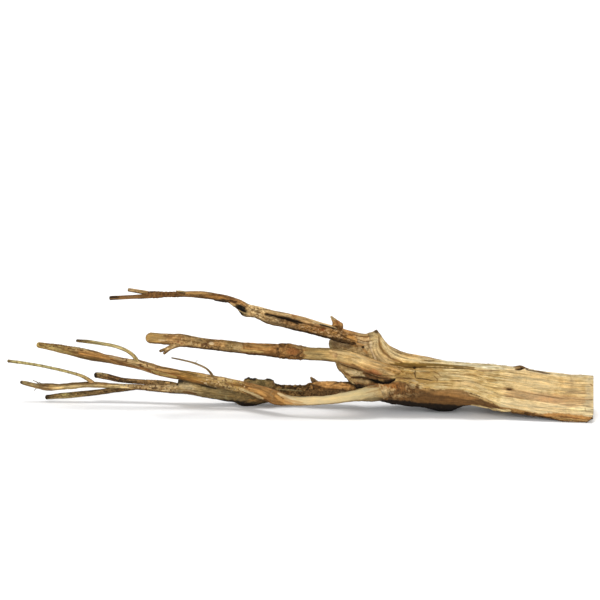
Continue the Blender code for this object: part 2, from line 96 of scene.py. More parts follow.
def latticeNoise(points, seed):
    # random heights on a unit lattice, blended along each axis by a quintic curve; from -1 to 1
    rng = np.random.default_rng(seed)
    order, heights = rng.permutation(latticeSize), rng.uniform(-1, 1, latticeSize)
    cell = np.floor(points).astype(int)
    t = points - cell
    t = t ** 3 * (t * (t * 6 - 15) + 10)
    total = np.zeros(points.shape[:-1])
    for corner in np.ndindex(2, 2, 2):
        key = latticeKey(order, cell + np.array(corner))
        total += heights[key] * np.prod(np.where(np.array(corner, bool), t, 1 - t), axis=-1)
    return total


def layered(points, seed, layers=3, gain=0.55):
    # the sum of noises that double in fineness and lose strength by the gain
    return sum(gain ** k * latticeNoise(points * 2.0 ** k + 5.7 * k, seed + 13 * k) for k in range(layers))


def cellEdge(points, seed):
    # distance to the second nearest of scattered points less the distance to the nearest: 0 on a cell's border
    rng = np.random.default_rng(seed)
    order, jitter = rng.permutation(latticeSize), rng.uniform(0, 1, (latticeSize, 3))
    cell = np.floor(points).astype(int)
    nearest = np.full(points.shape[:-1], 9.0)
    second = nearest.copy()
    for step in np.ndindex(3, 3, 3):
        spot = cell + np.array(step) - 1
        away = np.linalg.norm(spot + jitter[latticeKey(order, spot)] - points, axis=-1)
        second = np.minimum(second, np.maximum(nearest, away))
        nearest = np.minimum(nearest, away)
    return second - nearest


def ramp(low, high, value):
    # 0 below low, 1 above high, an S curve between; low may be the larger
    t = np.clip((value - low) / (high - low), 0, 1)
    return t * t * (3 - 2 * t)


def smoothCurve(stations, values, at):
    # cubic curve through the values at the stations, each slope taken from the station's neighbours
    stations, values, at = (np.asarray(a, float) for a in (stations, values, at))
    slopes = np.gradient(values, stations, axis=0)
    i = np.clip(np.searchsorted(stations, at) - 1, 0, len(stations) - 2)
    width = (stations[i + 1] - stations[i])[:, None]
    t = ((at - stations[i]) / width[:, 0])[:, None]
    return (
        values[i] * (1 + 2 * t) * (1 - t) ** 2 + slopes[i] * width * t * (1 - t) ** 2
        + values[i + 1] * t * t * (3 - 2 * t) - slopes[i + 1] * width * t * t * (1 - t)
    )


def pathOf(route, step):
    # points and radii along the smooth curve through the route, about one step apart
    route = np.array(route, float)
    along = np.concatenate([[0], np.cumsum(np.linalg.norm(np.diff(route[:, :3], axis=0), axis=1))])
    return smoothCurve(along, route, np.linspace(0, along[-1], max(4, round(along[-1] / step) + 1)))


def swelling(along, angle, seed, amount):
    # a few waves that run round a limb and along it, the same ones as the solids have
    draw = np.random.default_rng(seed)
    total = np.zeros(np.broadcast(along, angle).shape)
    for turns, wave in ((1, 60), (2, 34), (3, 21), (2, 15), (4, 27)):
        phase, shift = draw.uniform(0, 2 * math.pi, 2)
        wobble = turns * angle + phase + 0.6 * np.sin(along / wave + shift)
        total += np.sin(wobble) * np.cos(along / wave + shift)
    return amount * total / 2


def frontPlace(points):
    # where a point appears on the front drawing: across and down, shrunk by its distance
    away, middle = points - viewAim, drawingSize // 2
    far = (viewDistance + away @ viewForward) / viewDistance
    return middle + away[..., 0] / far / drawingUnit, middle - (away @ viewUp) / far / drawingUnit


def chainDistance(points, route):
    # signed distance to a chain of round cones along a route, negative inside
    path = pathOf(route, 5.0)
    best = np.full(points.shape[:-1], 1e9)
    for a, b in zip(path, path[1:]):
        run = b[:3] - a[:3]
        t = np.clip((points - a[:3]) @ run / (run @ run), 0, 1)
        gap = np.linalg.norm(points - a[:3] - t[..., None] * run, axis=-1) - (a[3] + t * (b[3] - a[3]))
        best = np.minimum(best, gap)
    return best


def fillet(shape, chains, reach):
    # where two limbs meet, each swells towards the other by (reach - gap) squared over 4 reach
    points = shape["points"]
    push = np.zeros(points.shape[:-1])
    for route in chains:
        gap = np.maximum(chainDistance(points, route), 0)
        push = np.maximum(push, np.where(gap < reach, (reach - gap) ** 2 / (4 * reach), 0))
    shape["points"] = points + shape["outward"] * push[..., None]


# shapes: a tube carried along a route, as a grid of rows by turns

def tubeOf(route, around=84, step=0.55, uneven=0.05, seed=1, lumps=(), blunt=1.0, low=None, high=None,
           shift=0.0):
    # rings of an uneven circle, each square to the route; the tip is a half ball flattened by blunt
    path = pathOf(route, step)
    centre, radius = path[:, :3], path[:, 3]
    along = np.concatenate([[0], np.cumsum(np.linalg.norm(np.diff(centre, axis=0), axis=1))])
    forward = np.gradient(centre, axis=0)
    forward /= np.linalg.norm(forward, axis=1, keepdims=True)
    upright = np.abs(forward).max(axis=0)[2] > 0.85  # a route that climbs can't be squared to the vertical
    across = np.cross(forward, (0.0, 1.0, 0.0) if upright else (0.0, 0.0, 1.0))
    across /= np.linalg.norm(across, axis=1, keepdims=True)
    over = np.cross(across, forward)
    angle = np.arange(around) * 2 * math.pi / around
    if low is not None:
        rows = np.flatnonzero((centre[:, 0] >= low) & (centre[:, 0] <= high))
        if rows[-1] < len(centre) - 2:
            rows = np.append(rows, rows[-1] + 1)  # the next part's first ring, so that no gap is left
    else:
        rows = np.arange(len(centre))
    keep = np.ones(len(rows))
    lift = np.zeros(len(rows))
    if low is None or rows[-1] == len(centre) - 1:  # the run's own tip is here, so it is rounded
        t = np.linspace(0, math.pi / 2, 13)[1:-1]
        rows = np.concatenate([rows, np.full(len(t), len(centre) - 1)])
        keep = np.concatenate([keep, np.cos(t)])
        lift = np.concatenate([lift, np.sin(t) * blunt])
    centre, forward, across, over = centre[rows], forward[rows], across[rows], over[rows]
    along, radius = along[rows][:, None], radius[rows][:, None]
    reach = radius * (1 + swelling(along, angle[None], seed, uneven))
    outward = np.cos(angle)[None, :, None] * across[:, None] + np.sin(angle)[None, :, None] * over[:, None]
    points = centre[:, None] + reach[..., None] * outward
    for x, y, z, size, height in lumps:
        away = np.linalg.norm(points - np.array([x, y, z]), axis=-1, keepdims=True)
        points = points + outward * height * np.exp(-((away / size) ** 2))
    tip = forward[:, None] * (lift * radius[:, 0])[:, None, None]
    axis = centre[:, None]
    points = axis + (points - axis) * keep[:, None, None] + tip
    along = along + lift[:, None] * radius + shift
    grain = np.stack([
        np.broadcast_to(along, reach.shape), np.cos(angle)[None] * reach * keep[:, None],
        np.sin(angle)[None] * reach * keep[:, None]], axis=-1)
    end = centre[-1] + forward[-1] * radius[-1] * (blunt if lift[-1] > 0 else 0)
    return {"points": points, "outward": outward, "grain": grain, "keep": keep[:, None],
            "angle": np.broadcast_to(angle[None], reach.shape), "tips": [centre[0], end]}


class Surface:
    # paints a shape's tone, bark and relief by marks on the front drawing, then moves its points by the relief
    def __init__(self, shape, tone, seed=1, bark=0.0):
        self.shape, self.points = shape, shape["points"]
        self.px, self.row = frontPlace(self.points)
        self.ragged = layered(self.points / 2.6, seed, 3)
        self.up, self.rear = shape["outward"][..., 2], shape["outward"][..., 1]  # which way it faces, -1 to 1
        self.whole = np.ones(self.px.shape)
        self.front = ramp(0.25, -0.25, self.rear)
        self.under = ramp(-0.35, -0.9, self.up)
        self.tone = np.broadcast_to(toneOf(tone), self.points.shape).copy()
        self.bark = np.full(self.points.shape[:-1], float(bark))
        self.relief = np.zeros(self.points.shape[:-1])

    def bands(self, stops, ragged=5.0):
        # tones along the drawing, joined by ragged borders
        at = self.px + ragged * self.ragged
        places = [place for place, _ in stops]
        colours = np.array([toneOf(name) for _, name in stops])
        self.tone = np.stack([np.interp(at, places, colours[:, k]) for k in range(3)], axis=-1)

    def blob(self, x, y, rx, ry, turn=0.0, soft=0.35, ragged=0.25, allRound=False):
        # a ragged ellipse: 1 inside, 0 outside
        c, s = math.cos(math.radians(turn)), math.sin(math.radians(turn))
        u, v = self.px - x, self.row - y
        away = np.hypot((u * c + v * s) / rx, (v * c - u * s) / ry) + ragged * self.ragged
        return ramp(1 + soft, 1 - soft, away) * (1 if allRound else self.front)

    def line(self, spots, width, ragged=0.3, allRound=False):
        # a stroke along the spots, that thins out towards its two ends
        spots = np.array(spots, float)
        lengths = np.linalg.norm(np.diff(spots, axis=0), axis=1)
        starts = np.concatenate([[0], np.cumsum(lengths)])
        best, where = np.full(self.px.shape, 1e9), np.zeros(self.px.shape)
        for a, b, length, start in zip(spots, spots[1:], lengths, starts):
            reach = (self.px - a[0]) * (b[0] - a[0]) + (self.row - a[1]) * (b[1] - a[1])
            t = np.clip(reach / length ** 2, 0, 1)
            away = np.hypot(self.px - a[0] - t * (b[0] - a[0]), self.row - a[1] - t * (b[1] - a[1]))
            nearer = away < best
            best, where = np.where(nearer, away, best), np.where(nearer, start + t * length, where)
        share = where / starts[-1]
        thin = 0.45 + 0.55 * np.sin(np.clip(share, 0.02, 0.98) * math.pi) ** 0.5
        w = width * thin * (1 + ragged * self.ragged)
        return ramp(1.25, 0.45, best / np.maximum(w, 0.05)) * (1 if allRound else self.front)

    def below(self, spots, soft=1.0, ragged=0.8):
        # 1 below a line across the drawing, 0 above it
        spots = np.array(spots, float)
        edge = np.interp(self.px, spots[:, 0], spots[:, 1]) + ragged * self.ragged
        return ramp(-soft, soft, self.row - edge)

    def span(self, low, high, soft=2.0, ragged=1.5):
        # 1 between two places across the drawing, 0 outside them
        at = self.px + ragged * self.ragged
        return ramp(low - soft, low + soft, at) * ramp(high + soft, high - soft, at)

    def lay(self, mask, tone=None, bark=None, relief=0.0):
        # moves tone and bark towards the given ones by the mask's share, and adds the relief by that share
        if tone is not None:
            self.tone = self.tone + (toneOf(tone) - self.tone) * mask[..., None]
        if bark is not None:
            self.bark = self.bark + (bark - self.bark) * mask
        self.relief += relief * mask

    def stroke(self, spots, width, strength, tone, bark=None, relief=0.0, ragged=0.3, allRound=False):
        self.lay(self.line(spots, width, ragged, allRound) * strength, tone, bark, relief)

    def spot(self, place, strength, tone, bark=None, relief=0.0):
        # a blob by its place: across, down, its two radii, turn, softness and raggedness
        self.lay(self.blob(*place) * strength, tone, bark, relief)

    def crack(self, spots, width, depth, tone="shadowBlack", strength=1.0):
        # a stroke sunk by the depth; its tone is near black painted shade unless another is given
        self.stroke(spots, width, strength, tone, 0.0, -depth)

    def specks(self, mask, size, share, tone, seed, relief=0.0):
        # small scattered spots inside a mask, where a noise is above 1 - share
        spots = latticeNoise(self.points / size, seed)
        self.lay(mask * ramp(1 - share, 1.12 - share, spots), tone, relief=relief)

    def shade(self, mask, factor):
        # darkens or lightens the tone by a factor for red, green and blue
        self.tone = self.tone * (1 + (np.asarray(factor, float) - 1) * np.asarray(mask)[..., None])

    def cloud(self, size, seed, layers=3, gain=0.55):
        # a noise of no direction
        return layered(self.points / np.array(size), seed, layers, gain)

    def alongGrain(self, along, across, seed, layers):
        # a noise drawn out along the grain
        return layered(self.shape["grain"] / np.array([along, across, across]), seed, layers)

    def streaks(self, mask, along, across, strength, seed, dark=(0.5, 0.4, 0.28), pale=(1.36, 1.36, 1.4)):
        # dark and pale stripes drawn out along the grain
        wave = self.alongGrain(along, across, seed, 4)
        self.shade(mask * ramp(0.05, 0.55, wave) * strength, pale)
        self.shade(mask * ramp(0.05, 0.55, -wave) * strength, dark)

    def mottle(self, mask, size, strength, seed, dark=(0.52, 0.43, 0.32), pale=(1.34, 1.34, 1.38)):
        # dark and pale patches of no direction
        wave = self.cloud(size, seed, 4)
        self.shade(mask * ramp(0.05, 0.5, wave) * strength, pale)
        self.shade(mask * ramp(0.05, 0.5, -wave) * strength, dark)

    def fibres(self, across, along, amount, seed, mask=1.0, ridged=False):
        # relief drawn out along the grain; ridged ones have sharp crests
        wave = self.alongGrain(along, across, seed, 3)
        self.relief += amount * mask * (0.5 - np.abs(wave) * 1.6 if ridged else wave)

    def lumpy(self, size, amount, seed, mask=1.0):
        # relief of no direction
        self.relief += amount * mask * self.cloud(size, seed)

    def shell(self, underShade=undersideShadeShare):
        # the undersides get painted shade, then the points are moved out by the relief and kept above the
        # ground
        shape = self.shape
        low = ramp(-0.25, -0.95, self.up + 0.12 * self.ragged)
        self.shade(low * underShade, undersideShadeFactor)
        points = self.points + shape["outward"] * (self.relief * shape.get("keep", 1.0))[..., None]
        points[..., 2] = np.maximum(points[..., 2], groundGap)
        return {"points": points, "grain": shape["grain"], "tone": np.clip(self.tone * toneShare, 0.004, 0.95),
                "bark": np.clip(self.bark, 0, 1), "tips": shape.get("tips")}


def makeMesh(name, shells, material, node):
    # one closed shell after another, each a grid of rows by turns closed on a point at either end
    points, faces, grain, tone, bark, rims, base = [], [], [], [], [], [], 0
    for shell in shells:
        rows, around = shell["points"].shape[:2]
        grid = np.arange(rows * around).reshape(rows, around)
        step = np.roll(grid, -1, axis=1)
        quads = np.stack([grid[:-1], step[:-1], step[1:], grid[1:]], axis=-1).reshape(-1, 4)
        first, last = rows * around, rows * around + 1
        fan = [np.stack([np.full(around, first), step[0], grid[0]], axis=-1),
               np.stack([np.full(around, last), grid[-1], step[-1]], axis=-1)]
        flat = np.vstack([shell["points"].reshape(-1, 3), np.array(shell["tips"], float)])
        a, b, c, d = (flat[quads[:, k]] for k in range(4))
        volume = (np.cross(b - a, c - a) * a).sum() + (np.cross(c - a, d - a) * a).sum()
        turn = 1 if volume > 0 else -1  # faces point outwards
        faces += [(quads[:, ::turn] + base).tolist()] + [(part[:, ::turn] + base).tolist() for part in fan]
        points.append(flat)
        # 1 and 2 mark the end rings, whose edges stay sharp
        marks = [np.full(around, 1), np.zeros((rows - 2) * around), np.full(around, 2), [0, 0]]
        rims.append(np.concatenate(marks))
        for kept, key in ((grain, "grain"), (tone, "tone"), (bark, "bark")):
            values = shell[key].reshape(rows, around, -1)
            kept.append(np.vstack([values.reshape(rows * around, -1), values[0].mean(0), values[-1].mean(0)]))
        base += len(flat)
    mesh = bpy.data.meshes.new(name)
    # nothing reaches past the solids' box
    places = np.clip((np.vstack(points) - woodMiddle) * mm, *np.array(cadBox))
    mesh.from_pydata(places.tolist(), [], [f for part in faces for f in part])
    mesh.attributes.new("grain", "FLOAT_VECTOR", "POINT").data.foreach_set("vector", np.vstack(grain).ravel())
    colours = np.column_stack([np.vstack(tone), np.ones(base)])
    mesh.attributes.new("tone", "FLOAT_COLOR", "POINT").data.foreach_set("color", colours.ravel())
    mesh.attributes.new("bark", "FLOAT", "POINT").data.foreach_set("value", np.vstack(bark).ravel())
    mesh.shade_smooth()
    ends = np.concatenate(rims)
    pairs = np.empty(len(mesh.edges) * 2, np.int32)
    mesh.edges.foreach_get("vertices", pairs)
    ring = ends[pairs.reshape(-1, 2)]
    sharp = (ring[:, 0] > 0) & (ring[:, 0] == ring[:, 1])
    mesh.attributes.new("sharp_edge", "BOOLEAN", "EDGE").data.foreach_set("value", sharp)
    mesh.update()
    piece = bpy.data.objects.new(name, mesh)
    bpy.context.scene.collection.objects.link(piece)
    mesh.materials.append(material)
    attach(piece, "root")
    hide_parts(node)
    node + "_wood"
    print(f"{name}: {len(mesh.polygons)} faces")


# shader maths

class Wire:
    # a socket that can be added, multiplied and so on, each adding a Math node
    def __init__(self, finish, socket):
        self.finish, self.socket = finish, socket

    def math(self, operation, a, b=0.0, clamp=False):
        # a Math node on two values, kept from 0 to 1 if it clamps
        return self.finish.add("ShaderNodeMath", {"operation": operation, "use_clamp": clamp}, {0: a, 1: b})

    def __add__(self, other):
        return self.math("ADD", self, other)

    def __radd__(self, other):
        return self.math("ADD", other, self)

    def __sub__(self, other):
        return self.math("SUBTRACT", self, other)

    def __rsub__(self, other):
        return self.math("SUBTRACT", other, self)

    def __mul__(self, other):
        return self.math("MULTIPLY", self, other)

    def __rmul__(self, other):
        return self.math("MULTIPLY", other, self)

    def __abs__(self):
        return self.math("ABSOLUTE", self)

    def clamp(self):
        return self.math("ADD", self, 0.0, clamp=True)


class Finish:
    # a material whose nodes are added one by one
    def __init__(self, name):
        self.material = bpy.data.materials.new(name)
        self.material.use_nodes = True
        self.tree = self.material.node_tree
        self.shader = self.tree.nodes["Principled BSDF"]

    def add(self, kind, settings, sockets, output=0):
        # a node of that kind: its settings first, then values or links for its sockets
        node = self.tree.nodes.new(kind)
        for key, value in settings.items():
            setattr(node, key, value)
        for key, value in sockets.items():
            self.put(node.inputs[key], value)
        return Wire(self, node.outputs[output])

    def put(self, socket, value):
        if isinstance(value, Wire):
            self.tree.links.new(value.socket, socket)
        else:
            socket.default_value = value

    def attribute(self, name, output):
        return self.add("ShaderNodeAttribute", {"attribute_name": name}, {}, output)

    def times(self, vector, factors):
        # each part of a vector times its own factor
        return self.add("ShaderNodeVectorMath", {"operation": "MULTIPLY"}, {0: vector, 1: factors})

    def scale(self, vector, amount):
        # a whole vector or colour times one amount
        return self.add("ShaderNodeVectorMath", {"operation": "SCALE"}, {0: vector, "Scale": amount})

    def noise(self, vector, factors, detail=4.0, rough=0.6):
        # a noise whose places are the vector times the factors, so small factors draw it out
        return self.add("ShaderNodeTexNoise", {"noise_dimensions": "3D"}, {
            "Vector": self.times(vector, factors), "Scale": 1.0, "Detail": detail, "Roughness": rough})

    def cells(self, vector, factors):
        # how far it is to the nearest of scattered points
        return self.add("ShaderNodeTexVoronoi", {"feature": "F1"}, {
            "Vector": self.times(vector, factors), "Scale": 1.0, "Randomness": 1.0})

    def mix(self, amount, a, b):
        # colour a, or b as far as the amount says
        return self.add("ShaderNodeMix", {"data_type": "RGBA"}, {0: amount, 6: a, 7: b}, 2)


def woodFinish(name, look):
    # tone and bark come from the piece; noises drawn out along the grain make its fibres, even ones its grit
    f = Finish(name)
    grain, tone, bark = f.attribute("grain", 1), f.attribute("tone", 0), f.attribute("bark", 2)
    bare = 1 - bark
    broad = f.noise(grain, (0.016, 0.3, 0.3), 4.0, 0.55) - 0.5
    fibre = f.noise(grain, (0.035, 1.3, 1.3), 6.0, 0.68) - 0.5
    hair = f.noise(grain, (0.1, 5.0, 5.0), 3.0, 0.6) - 0.5
    patch = f.noise(grain, (0.09, 0.16, 0.16), 5.0, 0.62) - 0.5
    grit = f.noise(grain, (0.85, 1.15, 1.15), 8.0, 0.72) - 0.5
    crumb = f.noise(grain, (0.3, 0.42, 0.42), 5.0, 0.65) - 0.5
    pit = (1 - f.cells(grain, (0.55, 0.75, 0.75)) * look["pitWidth"]).clamp()
    split = (1 - abs(f.noise(grain, (0.022, 0.85, 0.85), 3.0, 0.5) - 0.5) * look["splitWidth"]).clamp()
    light = bare * (broad * look["broad"] + fibre * look["fibre"] + hair * look["hair"])
    light = 1 + light + patch * look["patch"]
    light = light + bark * (grit * look["grit"] + crumb * look["crumb"]) + bare * grit * look["dust"]
    light = light * (1 - bare * split * look["split"]) * (1 - bark * pit * look["pit"])
    light = light.math("MAXIMUM", light, 0.08)
    warm = (0.5 + broad * 2.2 + patch * 2.0).clamp()
    tinted = f.mix(warm, f.times(tone, look["cool"]), f.times(tone, look["warm"]))
    colour = f.scale(tinted, light)
    flecks = ((grit + crumb * 0.6 - 0.16) * 9).clamp() * bark * look["flecks"]
    colour = f.mix(flecks, colour, look["fleckTone"])
    f.put(f.shader.inputs["Base Color"], colour)
    f.put(f.shader.inputs["Roughness"], (look["roughness"] + bark * 0.2 + fibre * 0.35 + grit * 0.2).clamp())
    f.shader.inputs["Specular IOR Level"].default_value = look["shine"]
    height = bare * (fibre * 1.0 + hair * 0.5 - split * 0.5) + bark * (grit * 1.5 + crumb * 1.2 - pit * 0.5)
    bump = f.add("ShaderNodeBump", {}, {"Strength": look["bump"], "Distance": 0.0006, "Height": height})
    f.put(f.shader.inputs["Normal"], bump)
    return f.material


plainWood = {
    "broad": 1.1, "fibre": 1.9, "hair": 1.3, "patch": 1.0, "grit": 3.6, "crumb": 2.2, "dust": 0.9, "pit": 0.6,
    "pitWidth": 3.0, "split": 0.45, "splitWidth": 20.0, "cool": (1.0, 0.97, 0.88), "warm": (1.05, 0.92, 0.7),
    "flecks": 0.5, "fleckTone": (0.44, 0.31, 0.15, 1), "roughness": 0.72, "shine": 0.1, "bump": 1.0,
}
splitFinish = woodFinish("split_straw_wood", {
    **plainWood, "fibre": 1.2, "broad": 0.7, "split": 0.28, "cool": (1.04, 1.06, 1.06),
    "warm": (1.06, 0.99, 0.86)})
brownFinish = woodFinish("brown_limb_wood", plainWood)
paleFinish = woodFinish("smooth_pale_wood", {
    **plainWood, "fibre": 0.6, "broad": 0.6, "hair": 0.3, "patch": 0.5, "dust": 0.4, "split": 0.12,
    "bump": 0.4})
barkFinish = woodFinish("dark_limb_bark", {**plainWood, "grit": 4.2, "crumb": 3.0, "flecks": 0.35,
    "fleckTone": (0.33, 0.25, 0.13, 1)})
twigFinish = woodFinish("twig_skin", {**plainWood, "fibre": 1.0, "split": 0.15, "patch": 1.2})
print("finishes are made")

# the routes, each a list of x, y, z and radius from the root outwards
upperRoute = [
    (82, 9, 73.5, 5.2), (75, 7, 73.5, 6), (68, 4, 74.2, 6.4), (59, 0.5, 76.5, 6.5), (51, -2, 79, 6.5),
    (36, -5, 84.5, 6.6), (20, -6, 89.5, 6.7), (5, -6, 93.5, 7.6), (-10, -5, 97, 7.2), (-26, -4, 100, 6.8),
    (-40, -3, 105, 5.6), (-49, -2, 107.5, 5.2), (-57, -1, 112.5, 4.3), (-67, 0, 117, 3.6), (-82, 1, 120, 3.6),
    (-97, 2, 121.8, 3.6), (-118, 3, 122, 2.9), (-133, 4, 121.5, 2.7), (-145, 5, 121, 3.5),
    (-151, 5.5, 121.3, 2.9),
]
middleRoute = [
    (121, -3, 32, 5), (109, -10.5, 39.5, 6.2), (92, -14.5, 46.5, 7.4), (76, -14, 51, 8), (56, -13, 58, 7.5),
    (36, -12, 61.8, 6.8), (15, -11, 62.6, 6.4), (-5, -11, 65, 7.3), (-26, -11, 66.5, 6.4), (-46, -11, 68, 5.9),
    (-72, -11, 71, 5.9), (-97, -11, 73.6, 5.9), (-117, -11, 77, 6.3), (-133, -11, 78.6, 5.7),
    (-147, -11, 79.5, 5.7),
]
frontRoute = [
    (106, -3, 24, 5), (95, -10, 24.5, 6.3), (85, -17.5, 24.6, 7.2), (76, -23.5, 24.6, 7),
    (66, -26.5, 23.4, 6.2), (56, -27.5, 22, 5.5), (36, -27.5, 18.8, 4.9), (15, -25, 16.8, 4.7),
    (-5, -20, 15.8, 4.9), (-17, -14, 16.6, 6.2), (-28, -6, 18.6, 6.4),
]
longRoute = [
    (-41, 2, 20.1, 6.6), (-52, 8, 22.4, 5.9), (-67, 11, 25, 5.9), (-98, 15, 30.2, 5.7), (-119, 17, 33.9, 5.1),
    (-140, 19, 37.4, 4.9), (-160, 20, 43.3, 4.8), (-181, 22, 47.1, 4.3), (-202, 24, 50.9, 4.2),
    (-223, 25, 55.3, 4.5), (-243, 26, 59.2, 3.9), (-265.3, 27, 63.2, 3.1),
]
backRoute = [
    (84, 8, 25, 6.6), (69, 14.5, 18.8, 6.2), (52, 17.5, 18, 6.4), (31, 20, 17.8, 6.9), (14.5, 21.5, 15.6, 6.7),
    (-5.5, 22.5, 14.6, 6.5), (-21, 23, 14.6, 8), (-31.5, 23.5, 15.6, 9.8), (-43, 24, 14.2, 11.7),
]
lowerRoute = [
    (-50, 24.5, 12, 11.9), (-62, 25, 11.6, 9), (-78, 25.5, 13, 8.1), (-99, 27, 15.4, 7), (-115, 29, 16.4, 5.8),
    (-130, 31, 15.3, 4.7), (-151, 33, 15.8, 3.6), (-172, 35, 16.6, 2.9), (-193, 37, 17.1, 2.9),
    (-212, 38, 18.2, 2.8), (-235, 39, 16.5, 2.9), (-258, 40, 15, 3.3), (-272, 40, 16.4, 2.6),
    (-286, 41, 19.8, 2.1),
]
# where the front limb goes on as the long limb, and the back limb as the lower one
frontEnd, backEnd = -33.0, -55.0

# trunk: a split half log; six places (y, z) at each station along it, as the solid has
trunk = {
    "stations": {
        35: [(14.2, 65), (14.4, 68.5), (16, 70.5), (18.2, 67), (17, 64), (15, 64)],
        38: [(13, 58), (13.2, 69), (16, 72.8), (20, 65), (17.5, 56.5), (14.5, 57)],
        43: [(11.5, 47), (12, 66), (16, 73), (22.8, 59), (18, 43.5), (13, 45)],
        52: [(9, 37), (10.5, 62), (16, 71.5), (25, 51), (18, 31), (11, 33)],
        64: [(3, 30), (4, 60), (11, 73), (26, 46), (17, 23), (6, 24.5)],
        74: [(-8, 34), (-2, 59), (5.5, 78), (25.5, 44), (11, 20), (-5, 24)],
        79: [(-14, 35), (-4, 58), (3, 81), (26, 43), (9, 18), (-10, 22)],
        83.8: [(-18, 36), (-5.5, 56), (2, 84.6), (27, 41.5), (7.5, 15.5), (-15, 19)],
        88.6: [(-21, 36.5), (-6.8, 53.5), (2, 77), (28, 39.5), (6.5, 13.5), (-17.5, 16.5)],
        94: [(-23, 37), (-7.5, 51.5), (2, 70.5), (29, 36.5), (5.5, 12), (-18, 14.5)],
        107: [(-25, 37.5), (-8, 50), (1.5, 62), (31, 33), (4, 8.5), (-18, 11)],
        128: [(-27, 31), (-8, 47.5), (0, 57.5), (32, 30), (2, 5.5), (-15, 8)],
        158: [(-28, 28), (-9, 46.5), (-1.5, 51.5), (32, 29), (-3, -0.6), (-20, 7.5)],
        181: [(-30, 25.5), (-10.5, 44.5), (-3, 49.5), (30, 28), (4, 8), (-25, 12.5)],
        193: [(-33, 20), (-12, 43.5), (-4, 49.2), (28, 26), (3, 6.5), (-27, 10.2)],
        209: [(-34, 12.5), (-13, 42.5), (-5, 48), (24.5, 24), (0, 3), (-32, 8.2)],
        225: [(-37.5, 9.5), (-14, 40.5), (-6.5, 46.2), (22, 23), (-3, 1.2), (-36, 7.6)],
        250: [(-42, 7), (-15, 38), (-8, 43.6), (18, 21), (-8, -0.4), (-40.5, 4.7)],
        275: [(-46, 6.5), (-18, 34.5), (-11, 41), (13, 21), (-12, -0.5), (-45, 0.9)],
        318: [(-51, 6), (-20, 33.5), (-13, 38.7), (9, 20), (-12, -0.5), (-50, -0.4)],
    },
    "groove": ((35, 0), (75, 0.8), (85, 2.4), (107, 3), (158, 2), (209, 0.9), (250, 0.2), (318, 0)),
    "lumps": ((231, -7, 48.5, 6, 3.2), (179, -31, 25, 7, 1.6), (101, -27, 30, 8, 2.6), (89, -24, 33, 6, 2.2),
              (115, -28, 25, 8, 1.8), (96, -22, 18, 8, 1.6)),
    "counts": (100, 28, 42, 38, 18, 24),  # points on the face, crest, top, back, sole and bark
    "rows": 378,
    "hollow": 1.1, "grooveWidth": 3.4, "swell": 0.9,
    "ledge": 1.3,  # of the face, its groove, the bark, its edge
    "saw": (303.5, -32, 5.4),  # where the cut is, at which y, and its skew in degrees
    "chip": (295.2, 39, -36),  # foot of the chipped corner, its lean in degrees, and the y where it ends
    "chipEnd": 14, "capRings": 13,  # how far the chip opens, and the rings that close the end
}


